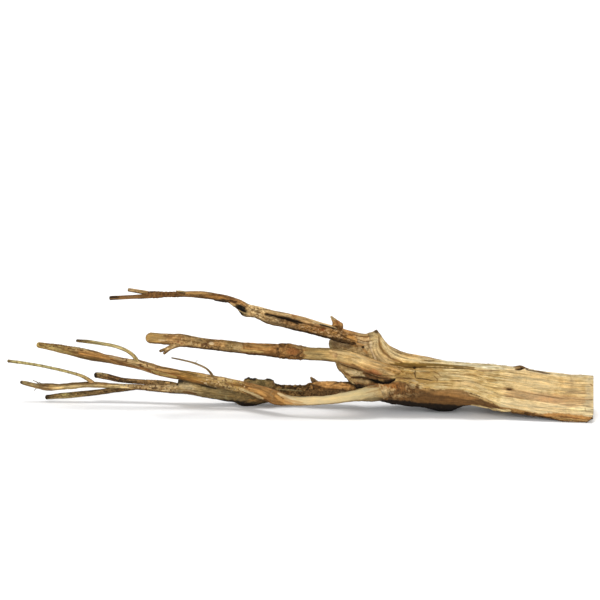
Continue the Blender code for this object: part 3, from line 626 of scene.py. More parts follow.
def trunkShape(look):
    # rings of straight and round stretches between the six places, on even steps along the log
    stations = np.array(sorted(look["stations"]))
    places = np.array([look["stations"][x] for x in stations], float).reshape(len(stations), -1)
    x = np.linspace(stations[0], look["saw"][0], look["rows"])
    rows = smoothCurve(stations, places, x).reshape(len(x), 6, 2)
    edge, groove, ridge, back, sole, front = (rows[:, k][:, None] for k in range(6))
    t = [np.linspace(0, 1, n, endpoint=False)[None, :, None] for n in look["counts"]]
    quarter = [t[2] * math.pi / 2, t[3] * math.pi / 2]
    top = np.concatenate([ridge[..., :1] + (back[..., :1] - ridge[..., :1]) * np.sin(quarter[0]),
                          back[..., 1:] + (ridge[..., 1:] - back[..., 1:]) * np.cos(quarter[0])], axis=-1)
    rear = np.concatenate([sole[..., :1] + (back[..., :1] - sole[..., :1]) * np.cos(quarter[1]),
                           back[..., 1:] + (sole[..., 1:] - back[..., 1:]) * np.sin(quarter[1])], axis=-1)
    ring = np.concatenate([edge + (groove - edge) * t[0], groove + (ridge - groove) * t[1], top, rear,
                           sole + (front - sole) * t[4], front + (edge - front) * t[5]], axis=1)
    part = np.concatenate([np.full(n, k) for k, n in enumerate(look["counts"])])
    share = np.concatenate([a[0, :, 0] for a in t])
    for _ in range(2):  # corners are worn round
        ring = 0.5 * ring + 0.25 * (np.roll(ring, 1, axis=1) + np.roll(ring, -1, axis=1))
    tangent = np.roll(ring, -1, axis=1) - np.roll(ring, 1, axis=1)
    normal = np.stack([tangent[..., 1], -tangent[..., 0]], axis=-1)
    normal /= np.linalg.norm(normal, axis=-1, keepdims=True)
    middle = ring.mean(axis=1, keepdims=True)
    normal *= np.sign(((ring - middle) * normal).sum(axis=(1, 2)))[:, None, None]
    depth = np.interp(x, *zip(*look["groove"]))[:, None]
    fromGroove = np.linalg.norm(ring - ring[:, look["counts"][0]][:, None], axis=-1)
    hollow = np.where(part == 0, -look["hollow"] * np.sin(share * math.pi), 0.0)[None]
    relief = hollow - depth * np.exp(-((fromGroove / look["grooveWidth"]) ** 2))
    counts = [7 * share, 7 + 7 * share, 14 + 5 * share, 19 + 4 * share]
    count = np.select([part == k for k in (2, 3, 4, 5)], counts, 0)
    swell = look["swell"] * np.sin(count[None] * 2.3 + x[:, None] / 9) * np.sin(x[:, None] / 17 + count[None])
    relief = relief + np.where(part >= 2, swell, 0)
    ledge = look["ledge"] * np.sin(np.minimum(0.4 + 0.8 * share, 1) * math.pi / 2) * ramp(1.0, 0.93, share)
    relief = relief + np.where(part == 5, ledge, 0)[None]
    calm = np.clip((x[:, None] - stations[0]) / 30, 0.1, 1)  # the thin torn end has less relief
    relief = relief * calm
    ring = ring + normal * relief[..., None]
    points = np.concatenate([np.broadcast_to(x[:, None, None], (*ring.shape[:2], 1)), ring], axis=-1)
    middle = points.mean(axis=1, keepdims=True)
    for lx, ly, lz, size, height in look["lumps"]:
        away = np.linalg.norm(points - np.array([lx, ly, lz]), axis=-1, keepdims=True)
        outward = (points - middle) / np.linalg.norm(points - middle, axis=-1, keepdims=True)
        points = points + outward * height * np.exp(-((away / size) ** 2))
    # the grain runs along the log, its fibres set round a circle by how far round the log they are
    sample = points[len(x) * 3 // 4]
    arc = np.linalg.norm(np.diff(sample, axis=0, append=sample[:1]), axis=-1)
    v = np.concatenate([[0], np.cumsum(arc)[:-1]]) / arc.sum() * 2 * math.pi
    parts = (x[:, None], np.cos(v) * 35, np.sin(v) * 35)
    grain = np.stack([np.broadcast_to(a, ring.shape[:2]) for a in parts], axis=-1)
    swell = np.where(part >= 2, swell, 0) * calm
    return {"points": points, "grain": grain, "part": part, "share": share, "x": x, "swell": swell}


def gridNormals(points):
    # square to the grid's two directions, pointing away from each row's middle
    along = np.gradient(points, axis=0)
    around = np.roll(points, -1, axis=1) - np.roll(points, 1, axis=1)
    normal = np.cross(along, around)
    normal /= np.maximum(np.linalg.norm(normal, axis=-1, keepdims=True), 1e-9)
    sign = np.sign(((points - points.mean(axis=1, keepdims=True)) * normal).sum())
    return normal * sign


def curlOf(s):
    # the curly bark at the root of the front limb, the same noise on the trunk and on the limb
    return s.cloud((4.6, 4.0, 2.6), 73, gain=0.62)


def tornEdge(s, curl):
    # where the limb's pale wood ends in that bark
    return ramp(391, 379, s.px + 8.0 * curl) * s.blob(380, 392, 13, 6.2, 0, 0.25, 0.4)


def buildTrunk(look):
    # the log's grid, swollen towards its limbs, marked, moved out by its relief, sawn and closed by a flat end
    shape = trunkShape(look)
    shape["outward"] = gridNormals(shape["points"])
    fillet(shape, (middleRoute[:6], upperRoute[:6], frontRoute[:5], backRoute[:4]), 7.0)
    shape["outward"] = gridNormals(shape["points"])
    part, share, x = shape["part"][None], shape["share"][None], shape["x"][:, None]
    s = Surface(shape, "straw", 5)
    # masks: about the ridge, turned to the viewer, split wood, and bare wood over the ridge
    nearRidge = np.where(part <= 1, 1, np.where(part == 2, ramp(0.1, 0.03, share), 0))
    facing = ramp(0.1, 0.28, -(shape["outward"] @ viewForward))
    grain = shape["grain"]
    fromEdge = np.where(part == 0, share, np.where(part == 5, share - 1, np.where(part <= 1, 1, -1))) * 40
    wood = ramp(-1.2, 1.0, fromEdge + 2.0 * s.ragged) * np.where(part >= 2, 0, 1)
    ridgeWood = np.where(part == 2, ramp(0.5, 0.12, share + 0.12 * s.ragged), 0)
    wood = np.clip(wood + ridgeWood, 0, 1)

    # bark behind and below, with bare patches behind
    s.lay(1 - wood, "chocolate", bark=1)
    behind = np.where((part == 2) | (part == 3), 1.0, 0.0) * (1 - wood)
    s.lay(behind, "umber")
    s.lay(behind * ramp(0.1, 0.5, s.cloud(22, 41)), "greyBark", bark=0.6)
    s.lay(behind * ramp(0.35, 0.6, s.alongGrain(60, 9, 42, 3)), "tan", bark=0.15, relief=-0.8)
    # the face: paler along the ridge and to the right, warmer at the left
    s.lay(wood * s.span(436, 620, 20) * s.below([(360, 340), (600, 340)])
          * (1 - s.below([(430, 365), (600, 379)], 3)), "paleStraw")
    s.lay(wood * s.span(385, 436, 12) * 0.5, "tan")
    s.lay(wood * s.span(365, 425, 6) * (1 - s.below([(360, 362), (430, 362)], 2)) * 0.7, "paleTan")
    calm = wood * (1 - 0.5 * s.span(495, 640, 20))
    s.streaks(calm, 42, 2.4, 0.45, 31, (0.66, 0.57, 0.44), (1.14, 1.2, 1.34))
    s.streaks(calm, 11, 1.3, 0.5, 32, (0.55, 0.45, 0.32), (1.12, 1.18, 1.3))
    s.mottle(wood * (1 - s.span(505, 600, 25) * 0.5), (9, 6, 3.2), 0.5, 33, (0.7, 0.6, 0.4), (1.1, 1.13, 1.22))
    s.mottle(wood, (3.4, 3, 1.7), 0.35, 34, (0.6, 0.48, 0.34), (1.12, 1.14, 1.2))
    s.lay(wood * s.span(505, 600, 10) * s.below([(500, 388), (600, 399)])
          * (1 - s.below([(500, 397), (600, 406)])) * 0.6, (0.64, 0.39, 0.2))
    s.lay(wood * s.below([(500, 398), (600, 406)], 1.5) * s.span(500, 600) * 0.5, "paleStraw")
    s.lay(wood * s.span(395, 440, 8) * s.below([(390, 368), (440, 368)])
          * (1 - s.below([(390, 383), (440, 384)])) * 0.55, (0.4, 0.24, 0.08))

    for px, row, wide, tall, turn, much, tone in (
        (466, 384, 11, 3.4, 0, 0.6, (0.84, 0.6, 0.32)), (531, 383, 30, 7, 5, 0.5, (0.9, 0.7, 0.4)),
        (548, 399.5, 16, 3.2, 8, 0.6, (0.68, 0.38, 0.19)), (530, 396, 9, 2.2, 6, 0.5, (0.48, 0.33, 0.18)),
        (571, 385, 5, 8, 0, 0.4, (0.52, 0.38, 0.21)), (572, 405.5, 8, 1.8, 4, 0.5, (0.66, 0.38, 0.19)),
        (581, 409.6, 12, 2.2, 2, 0.7, (0.96, 0.84, 0.48)), (577, 393, 13, 1.4, 0, 0.5, (0.48, 0.32, 0.17)),
        (478, 400, 12, 2.6, 12, 0.5, (0.9, 0.72, 0.42)), (452, 377, 10, 2.4, 0, 0.4, (0.52, 0.37, 0.17)),
    ):
        s.lay(wood * s.blob(px, row, wide, tall, turn, 0.5, 0.4) * much, tone)
    s.shade(wood * s.front, (1.17, 1.16, 1.1))
    s.shade(wood * s.span(434, 504, 8), (1.12, 1.18, 1.22))
    s.shade(wood * s.span(392, 434, 5) * s.below([(390, 362), (440, 360)], 2), (1.06, 1.04, 0.92))
    s.shade(wood * s.span(365, 384, 3) * (1 - s.below([(360, 360), (400, 362)], 2)), (0.9, 0.9, 0.86))
    s.shade(wood * s.span(515, 600, 10) * s.below([(500, 391), (600, 400)], 1.5)
            * (1 - s.below([(500, 399), (600, 405)], 1.5)), (0.88, 0.9, 0.92))
    s.lay(wood * s.span(586.5, 600, 0.8, 0.4) * ramp(0.1, 0.4, s.cloud((9, 3, 0.9), 36, 2)), (0.42, 0.26, 0.12))
    s.streaks(wood * s.span(436, 512, 10) * (1 - s.below([(430, 378), (515, 384)], 4)), 12, 1.8, 0.6, 35,
        (0.5, 0.42, 0.26), (1.1, 1.12, 1.2))
    s.lay(wood * s.line([(455, 367.4), (463, 368.4), (470, 369)], 0.9) * 0.7, (0.24, 0.14, 0.04))
    s.lay(wood * s.line([(440, 364.8), (447, 365.4)], 1) * 0.7, (0.3, 0.2, 0.06))
    s.lay(wood * s.line([(478, 370.6), (490, 371), (500, 370.4)], 0.9) * 0.7, (0.32, 0.2, 0.1))
    s.lay(wood * s.line([(477, 374.2), (481, 374.6)], 0.7), (0.22, 0.12, 0.05))
    s.lay(wood * s.line([(566, 392.5), (574, 391.5), (582, 393), (591, 392)], 1.2) * 0.6, (0.42, 0.27, 0.13))
    s.lay(wood * s.line([(570, 377), (572, 384), (571, 389)], 1.6) * 0.5, (0.5, 0.34, 0.17))
    s.lay(wood * s.span(585, 600, 1.2) * 0.5, (0.92, 0.76, 0.46))
    s.crack([(589, 384), (592, 386)], 0.6, 0.4, (0.3, 0.17, 0.06), 0.8)
    s.crack([(585.5, 408), (586.5, 412)], 0.6, 0.3, (0.35, 0.2, 0.08), 0.8)
    # torn edge between the face and the bark
    torn = [(405, 386), (418, 388), (435, 390), (450, 391.5), (460, 394), (466, 396.5), (470, 394.5),
            (476, 396.5), (483, 399), (490, 402), (498, 406.5), (505, 408), (515, 410), (532, 413), (545, 415)]
    s.stroke(torn, 1.6, 1 - wood * 0.6, "umber", bark=0.8, relief=0.3)
    s.stroke([(420, 389), (450, 393), (470, 396)], 2.2, 0.7, (0.42, 0.25, 0.09), bark=0.5)
    s.stroke([(466, 395.5), (474, 396), (482, 398.5), (492, 402.5)], 1.5, 1, (0.5, 0.3, 0.11), bark=0.4,
        relief=0.5)
    s.stroke([(545, 414.8), (560, 415.4), (575, 417), (592, 419)], 3.2, 1, (0.58, 0.3, 0.1), bark=0.5)
    s.stroke([(552, 417.4), (565, 419), (580, 420.4), (590, 420.6)], 1.6, 0.8, (0.7, 0.44, 0.18), bark=0.4)
    s.stroke([(560, 416.6), (572, 417.4), (580, 418.4)], 1, 0.8, (0.3, 0.13, 0.04))
    s.shade(s.line([(545, 415), (560, 416.6), (575, 418), (592, 420)], 3.4), (0.85, 0.85, 0.83))
    s.stroke([(500, 408), (510, 409.6), (520, 411), (533, 413.5)], 1.8, 1, (0.4, 0.22, 0.075), bark=0.6)
    s.stroke([(524, 412), (532, 413.6)], 1, 1, (0.12, 0.06, 0.025), bark=0.6)

    # long dark groove under the ridge and its finer lines
    s.stroke([(372, 352), (380, 361), (388, 365), (400, 366.5), (425, 366)], 2.6, 0.95, (0.19, 0.1, 0.022))
    s.stroke([(395, 363.5), (415, 364.4), (440, 365), (458, 366.2), (474, 367.6)], 1.9, 0.95,
        (0.22, 0.125, 0.026))
    s.stroke([(400, 367.5), (430, 367.5), (458, 368.6), (476, 369.4)], 0.8, 0.9, (0.16, 0.09, 0.024),
        relief=-0.5)
    s.stroke([(468, 367.8), (482, 369.4), (500, 370.4)], 1.2, 0.4, (0.36, 0.23, 0.09), relief=-0.3)
    # a pale line along the ridge: pale wood with a painted highlight
    s.stroke([(420, 361.8), (445, 363), (470, 365), (500, 366.5)], 0.9, 0.6, (1.02, 0.86, 0.54))
    s.stroke([(404, 369.6), (414, 371.4), (430, 371)], 1, 0.55, (0.98, 0.78, 0.4))
    # crest: grooves that sweep down from the peak
    fold = s.line([(377, 339), (374.4, 344), (374.6, 351), (379, 358), (387, 364)], 4.6)
    fold = fold * s.below([(360, 338.5), (400, 338.5)], 1)
    s.lay(fold * 0.75, (0.8, 0.61, 0.32))
    # the smooth ridge beside the folds: pale wood with a painted highlight
    s.stroke([(382, 339), (384.4, 346), (391, 353), (402, 358.5), (420, 360.6)], 2.6, 0.75, (1.04, 0.8, 0.42),
        relief=0.5)
    for spots, width, strength in (
        ([(379, 337), (379.6, 345), (383.6, 352), (391, 358.4), (402, 362.4)], 1.3, 0.9),
        ([(376.6, 341), (375.8, 348), (379, 355.6), (386, 362)], 0.7, 0.5),
        ([(373.8, 342), (372.4, 348), (375.4, 356), (381, 362)], 0.6, 0.55),
        ([(384.6, 343), (388, 349.6), (396, 355.4), (408, 359)], 0.6, 0.5),
        ([(391, 348.5), (400, 353.5), (412, 356)], 0.6, 0.45),
    ):
        s.stroke(spots, width, strength, (0.24, 0.125, 0.04), relief=-0.6)
    s.spot((376.6, 331, 2.6, 2.6), 1, "darkBark", bark=0.6)
    s.stroke([(380, 334), (386.6, 342.6), (398, 350.2), (412, 354.4)], 1, 0.9, "brown")
    s.stroke([(404, 355.6), (420, 357), (436, 359)], 1, 0.5, (0.6, 0.36, 0.15))
    s.stroke([(355, 335.8), (362, 337.2), (373, 335.4)], 0.9, 0.8, (0.16, 0.08, 0.03))

    # behind the crest's lip the surface drops to the torn wall
    lip = [(370, 336), (368.5, 343), (371, 350), (374, 357), (380, 363), (392, 368.5)]
    side = np.interp(s.row, [p[1] for p in lip], [p[0] for p in lip]) - s.px
    drop = ramp(-0.4, 1.8, side + 0.5 * s.ragged) * ramp(334, 338, s.row) * ramp(372, 366, s.row)
    drop = drop * ramp(40, 12, side) * s.front
    s.lay(drop, None, relief=-2.2)
    # painted shade along the lip
    s.stroke(lip, 1.3, 0.75, (0.16, 0.085, 0.03))
    wall = s.span(325, 370, 3) * s.front
    s.lay(wall, (0.5, 0.34, 0.15), bark=0.35)
    s.spot((341, 343, 12, 5), wall, (0.42, 0.29, 0.15), bark=0.4)
    s.spot((357, 343, 8, 4), wall, (0.52, 0.27, 0.09), bark=0.6)
    s.spot((364, 345, 7, 9), 1, (0.78, 0.56, 0.28), bark=0.5)
    s.stroke([(371.5, 341), (370, 347), (372, 353), (376, 359.5)], 1.4, 0.9, (0.86, 0.66, 0.4), bark=0)
    s.crack([(357, 339), (364, 341.2), (372, 341)], 0.7, 0.5, "redBrown", 0.8)
    s.stroke([(356, 343.6), (361, 347), (366, 353)], 1.5, 0.8, (0.62, 0.34, 0.12), bark=0.6)
    s.stroke([(330, 341), (330.5, 347), (333, 352)], 1.6, 0.6, (0.52, 0.42, 0.22), bark=0.2, allRound=True)
    # a small pit painted near black as shade
    s.spot((361.4, 347.3, 1.4, 1), 1, "shadowBlack", relief=-1.2)
    s.spot((352, 368, 14, 9), wall, (0.8, 0.55, 0.25), bark=0.15)
    s.stroke([(346, 370), (355, 372.4), (366, 375.2)], 2.9, 1, (1.16, 0.9, 0.5), bark=0, relief=0.6)
    s.stroke([(341, 364.5), (352, 368), (366, 372)], 0.9, 1, "umber", relief=-0.5)
    s.stroke([(343, 371), (350, 376.5), (358, 378)], 0.8, 1, (0.34, 0.19, 0.08), relief=-0.4)
    s.mottle(wall, (4, 4, 2.6), 0.6, 88)
    s.crack([(351, 377.5), (362, 377.5), (372, 380)], 1.5, 0.8, (0.1, 0.045, 0.016), 0.9)
    s.stroke([(356, 380), (362, 381.4), (369, 381.6)], 1.2, 0.8, (0.74, 0.52, 0.26), bark=0.3)
    s.stroke([(354, 382.6), (362, 384.6), (372, 385)], 1.2, 0.8, (0.24, 0.12, 0.05), bark=0.7)
    s.stroke([(365, 371.6), (367, 376), (372, 380)], 1.5, 0.8, (0.22, 0.1, 0.04), bark=0.5)
    # the slot under the middle branch, painted near black as shade, and the cracks on the face
    s.stroke([(364, 373), (374, 377.4), (390, 378.6)], 2.4, 1, (0.3, 0.15, 0.055), bark=0.3)
    s.crack([(364, 372), (371, 375.4), (380, 378), (388, 378.4)], 0.7, 0.6, "deepBrown", 0.8)
    s.crack([(369.5, 379.8), (374, 381.2), (381, 381.8), (388, 381.1), (394, 379.6)], 1.9, 4.5)
    s.crack([(396, 377.6), (404, 378.2), (413, 378.2)], 0.9, 0.6, (0.2, 0.09, 0.03), 0.8)
    s.crack([(415.4, 371), (414.8, 373.5), (416, 377.5)], 0.8, 0.8, (0.13, 0.065, 0.02), 0.85)
    s.mottle(wood * s.blob(399, 371.5, 15, 4, 0, 0.5), (3, 3, 1.8), 0.9, 77, (0.42, 0.33, 0.16),
        (1.2, 1.2, 1.1))
    s.spot((414.6, 367.6, 1.5, 1.1), 0.9, (0.05, 0.028, 0.01), relief=-1.6)
    s.crack([(416, 378), (424, 378.6), (433, 380.4)], 0.8, 0.7, "darkBark", 0.85)
    s.crack([(433, 371.5), (438, 373.5), (441, 376.5)], 0.6, 0.5, "umber", 0.7)
    s.crack([(434, 376), (437.5, 379), (437, 382)], 0.7, 0.6, "umber", 0.8)
    s.crack([(420, 372), (430, 372.6)], 0.5, 0.3, "umber", 0.6)
    s.crack([(424, 360.5), (429, 361), (434, 360.6)], 0.8, 0.8, "darkBark", 0.8)
    s.crack([(492, 386.6), (500, 387.8), (506, 388.6)], 0.5, 0.3, (0.4, 0.24, 0.1), 0.8)
    s.spot((508.6, 388.8, 5, 1.7, 8), 0.8, (0.42, 0.25, 0.1))
    s.spot((509, 389, 2.6, 1, 8), 1, (0.11, 0.055, 0.02), relief=-0.9)
    s.crack([(512, 390), (527, 392.5), (542, 395.5), (562, 398.6), (592, 399.6)], 0.6, 0.3,
            (0.3, 0.17, 0.07), 0.7)
    s.crack([(505, 396), (530, 399.5), (560, 404), (592, 406)], 0.5, 0.35, (0.34, 0.2, 0.09), 0.6)
    s.crack([(478, 391), (500, 395.5), (520, 398)], 0.5, 0.3, (0.34, 0.2, 0.09), 0.6)
    s.crack([(528, 406), (550, 408.5), (592, 411)], 0.5, 0.3, (0.36, 0.22, 0.1), 0.6)
    s.crack([(526, 376), (526.4, 386)], 0.4, 0.25, "lightBrown", 0.5)
    s.crack([(448, 374), (475, 375.5), (498, 376.5)], 0.5, 0.3, (0.4, 0.25, 0.1), 0.5)
    s.crack([(452, 380), (470, 380.6)], 0.4, 0.2, (0.42, 0.27, 0.11), 0.5)
    s.crack([(560, 383), (592, 385)], 0.5, 0.3, (0.42, 0.27, 0.12), 0.5)
    s.crack([(565, 390), (592, 391.5)], 0.5, 0.3, (0.42, 0.27, 0.12), 0.5)
    # the knob on the ridge and its hole, painted dark as shade where it faces the viewer
    s.spot((520.5, 366.8, 6.8, 2.6), 1, (0.46, 0.29, 0.12), bark=0.3)
    s.crack([(515.6, 369), (519, 368.6), (524, 367.2)], 1.4, 2, "deepBrown", 0.8 * facing)
    s.crack([(517.4, 369.2), (521, 368.6), (525.6, 367)], 1.1, 1, "shadowBlack", facing)
    s.stroke([(514, 370.4), (519, 371), (525, 370)], 0.9, 0.7, (0.8, 0.58, 0.3))
    s.stroke([(513.5, 366.8), (518, 366), (522.5, 365.8), (527.4, 369)], 1, nearRidge, (0.16, 0.085, 0.035),
        bark=0.5, allRound=True)
    s.stroke([(526, 369.8), (536, 371.4), (550, 374)], 1, nearRidge, (0.13, 0.08, 0.045), bark=0.4,
        allRound=True)

    # rough curly bark where the limbs come out
    curly = s.blob(398, 391, 24, 9, 3, 0.3)
    curl = curlOf(s)
    s.lay(curly, (0.19, 0.1, 0.038), bark=0.45)
    s.lay(curly * ramp(0.12, 0.5, curl) * 0.75, (0.44, 0.31, 0.165), relief=0.5)
    s.lay(curly * ramp(0.1, 0.5, s.cloud(4, 74, 2)) * s.blob(386, 387, 15, 4, 5, 0.5), (0.36, 0.155, 0.045),
          relief=0.2)
    s.lay(curly * ramp(0.15, 0.03, np.abs(curl + 0.03)) * 0.9, (0.06, 0.03, 0.012), relief=-0.4)
    s.lay(curly * ramp(0.1, 0.45, -s.cloud(2.6, 72)) * 0.75, (0.11, 0.055, 0.022), relief=-0.3)
    s.spot((417, 385, 7, 4.4, 30, 0.5), ramp(0, 0.35, curl), (0.7, 0.52, 0.27), bark=0.2, relief=0.3)
    s.lay(s.blob(395, 393.5, 9, 3, 10, 0.5) * ramp(0, 0.4, curl) * 0.8, (0.42, 0.32, 0.19), bark=0.4)
    s.stroke([(376, 385), (386, 386.5), (398, 383)], 2.2, 0.6, (0.38, 0.18, 0.06), bark=0.6)
    s.spot((375, 386, 7, 2.4), 1, (0.3, 0.15, 0.06), bark=0.8)
    s.lay(s.blob(382, 391.4, 9, 4.4, 0, 0.5, 0.7) * ramp(-0.25, 0.25, curl) * 0.8, (0.52, 0.39, 0.21), bark=0.2)
    s.relief += 1.3 * s.span(355, 382, 5) * s.under
    # painted shade under the wall, above the back limb
    s.stroke([(347, 382.6), (355, 385.2), (365, 386.8)], 1.9, 0.95, (0.045, 0.027, 0.012), bark=0.7, ragged=0.6)
    s.shade(curly, (0.9, 0.85, 0.74))
    # the front limb's pale wood runs on into this bark, with a torn edge
    s.lay(tornEdge(s, curl) * 0.9, (0.6, 0.46, 0.25), bark=0.1)
    smooth = s.blob(456, 399, 48, 9, 0, 0.4) * (1 - wood)
    s.relief -= shape["swell"] * np.clip(s.blob(456, 400, 56, 14, 0, 0.4, 0) * (part == 5) * 1.2, 0, 1)
    s.lay(smooth * 0.95, (0.155, 0.078, 0.027), bark=0.1)
    s.stroke([(416, 390), (435, 393), (452, 394.6), (466, 397.6), (478, 399)], 2.2, 0.8, (0.38, 0.2, 0.068),
        bark=0.1)
    s.stroke([(440, 400.6), (460, 402), (476, 403.4), (492, 406.6)], 1.8, 0.5, (0.19, 0.09, 0.03), bark=0.1)
    s.stroke([(440, 390.8), (452, 392.4), (460, 393.6), (468, 396)], 1.5, 1, "russet", bark=0.3, ragged=0.1)
    s.mottle((1 - wood) * (1 - smooth * 0.7), (5, 4, 3), 0.4, 75)
    s.streaks((1 - wood) * s.front * (1 - smooth * 0.75), 18, 2, 0.35, 76)
    # the trunk's underside near the ground laid near black, dark bark with painted shade; its downward faces
    # get painted shade too
    black = s.below([(355, 400), (380, 399), (400, 400.4), (420, 402.6), (440, 404), (460, 405), (474, 405.4),
        (480, 409)], 0.8, 0.5)
    s.lay(black * s.span(340, 476, 3) * (1 - wood), (0.016, 0.01, 0.006), bark=0.3)
    s.lay(s.under * (1 - wood) * (1 - smooth) * s.span(300, 470, 6) * 0.9, (0.02, 0.013, 0.008), bark=0.1)
    s.lay(s.under * (1 - wood) * s.span(480, 640, 6) * (1 - s.front) * 0.5, (0.12, 0.07, 0.03))
    s.stroke([(472, 404.8), (480, 406.9), (488, 409), (498, 410.4), (510, 410.8)], 1.7, 1, (1, 0.76, 0.38),
        bark=0, ragged=0.1)
    s.stroke([(491, 405.6), (496, 407.2), (499, 407.6)], 1, 0.8, "deepBrown")
    # painted shade: the slot under the middle branch laid near black
    slot = s.line([(369, 379.6), (374, 381), (381, 381.5), (388, 380.8), (395, 379)], 1.8, 0.4, allRound=True)
    s.lay(slot * ramp(12, 4, s.points[..., 1]), (0.012, 0.008, 0.006), bark=0)
    s.stroke([(446, 390.2), (456, 391.2), (463, 391.8), (469, 394)], 1.7, 1, "russet", bark=0.3, ragged=0.1)
    s.stroke([(469, 394.4), (476, 396.4), (484, 399.4), (492, 403.4)], 1, 0.8, (0.72, 0.48, 0.2), bark=0.2,
        ragged=0.5)

    s.fibres(1.5, 60, 0.3, 81, wood)
    s.fibres(4.5, 90, 0.55, 82, wood)
    s.fibres(3.4, 90, 0.55, 83, wood * s.span(362, 415, 10) * (1 - s.below([(360, 364), (430, 364)], 2)),
        ridged=True)
    s.lumpy(7, 0.9, 84, (1 - wood) * (1 - smooth * 0.85) * (1 - 0.7 * black * s.front))
    s.lumpy(2.6, 0.4, 85, (1 - wood * 0.85) * (1 - smooth * 0.85))
    s.lumpy(16, 0.7, 86, behind)
    s.lumpy(3, 0.8, 87, wall)
    s.relief *= np.clip((x - 34.5) / 14, 0.15, 1)

    # painted shade on the undersides, less on the smooth bark, the curly bark and the sawn end's face
    underShade = undersideShadeShare * (1 - 0.85 * smooth) * (1 - 0.5 * curly)
    shell = s.shell(underShade=underShade * (1 - 0.5 * s.span(545, 620, 5) * s.front))
    points = shell["points"]
    # the end is sawn a little out of square, and its lower corner is chipped
    sawX, sawY, skew = look["saw"]
    chipX, lean, chipY = look["chip"]

    def sawnAt(y):
        return sawX + (y - sawY) * math.tan(math.radians(skew))

    def chipAt(places, rough=0.0):
        # the furthest that the chipped corner lets the wood reach
        leaning = chipX + places[..., 2] * math.tan(math.radians(lean)) + rough
        return leaning + look["chipEnd"] * ramp(chipY - 1.5, chipY + 1.5, places[..., 1])

    points[..., 0] += ramp(sawX - 40, sawX, x) * (points[..., 1] - sawY) * math.tan(math.radians(skew))
    points[..., 0] = np.minimum(points[..., 0], chipAt(points, 0.7 * s.ragged))
    rim = points[-1]
    middle = rim.mean(axis=0)
    middle[0] = sawnAt(middle[1])
    # the end is closed by rings that shrink to its middle, the first two of them a worn edge
    shrink = np.concatenate([[0.985], np.linspace(0.95, 0.06, look["capRings"])])[:, None, None]
    cap = middle + (rim - middle) * shrink
    flatX = sawnAt(cap[..., 1])
    flat = np.minimum(flatX, np.maximum(cap[..., 0], flatX - 0.4))
    cap[..., 0] = np.where(shrink[..., 0] < 0.96, flat, cap[..., 0] + 0.15)
    cap[..., 0] = np.minimum(cap[..., 0], chipAt(cap))
    # year rings round the log's heart
    fromHeart = np.linalg.norm(cap[..., 1:] - np.array([0, 8.0]), axis=-1)
    rings = np.sin(fromHeart * 2.4 + layered(cap / 6.0, 91, 2)) * 0.5 + 0.5
    capTone = (toneOf("tan") + (toneOf("paleTan") - toneOf("tan")) * rings[..., None]) * toneShare
    barkRing = np.broadcast_to(shell["tone"][-1], cap.shape) * 0.8
    capTone = capTone + (barkRing - capTone) * ramp(0.9, 0.98, shrink)
    capGrain = np.stack([cap[..., 1] * 0.8 + 400, cap[..., 2] * 3, cap[..., 1] * 3], axis=-1)
    shell["points"] = np.concatenate([points, cap])
    shell["tone"] = np.concatenate([shell["tone"], capTone])
    shell["bark"] = np.concatenate([shell["bark"], np.full(cap.shape[:2], 0.25)])
    shell["grain"] = np.concatenate([shell["grain"], capGrain])
    shell["tips"] = [points[0].mean(axis=0) - [0.5, 0, 0], cap[-1].mean(axis=0)]
    makeMesh("trunkWood", [shell], splitFinish, "trunk")


buildTrunk(trunk)

# upper branch: knee, long crack, snag, and two prongs at its end
upper = {
    "tones": ((100, (0.22, 0.13, 0.06)), (146, (0.2, 0.1, 0.036)), (151, (0.14, 0.07, 0.026)),
              (178, (0.16, 0.08, 0.03)), (188, (0.28, 0.16, 0.06)), (215, (0.3, 0.16, 0.055)),
              (234, (0.4, 0.22, 0.09)), (248, (0.54, 0.38, 0.19)), (262, (0.52, 0.38, 0.2)),
              (282, (0.4, 0.29, 0.16)), (300, (0.42, 0.25, 0.11)), (330, (0.4, 0.22, 0.085)),
              (352, (0.4, 0.22, 0.085)), (372, (0.52, 0.34, 0.16))),
    "prongs": ([(-143, 5, 121.3, 2.1), (-152, 5.5, 122.9, 2.1), (-162, 7, 124.4, 2), (-170.4, 8, 125.6, 1.95)],
               [(-143, 5, 120.3, 2.3), (-152, 4.5, 119.6, 2.4), (-170, 4, 118.9, 2.1), (-189, 3, 118.1, 2.1)]),
    "snag": [(46, -7, 84, 4.8), (44.5, -8, 91, 4.6), (41, -8, 96, 2.8), (37, -8, 101, 0.9)],
    "snagLumps": ((47.5, -8, 93.6, 3, 1.6), (40.2, -8, 92.6, 2.4, 1.9)),
    "kneeLump": [(-42, -3, 104.5, 4.2), (-50, -5, 104.8, 4.4), (-55, -6, 107.2, 3.8), (-58.5, -6.5, 109.9, 2.7),
                 (-62, -7, 112.6, 1.7), (-66, -7, 114.8, 0.9)],
    "splinter": [(-112, 2, 124.5, 0.9), (-117, 1.5, 125.4, 0.8), (-121.5, 1, 126, 0.45)],
}


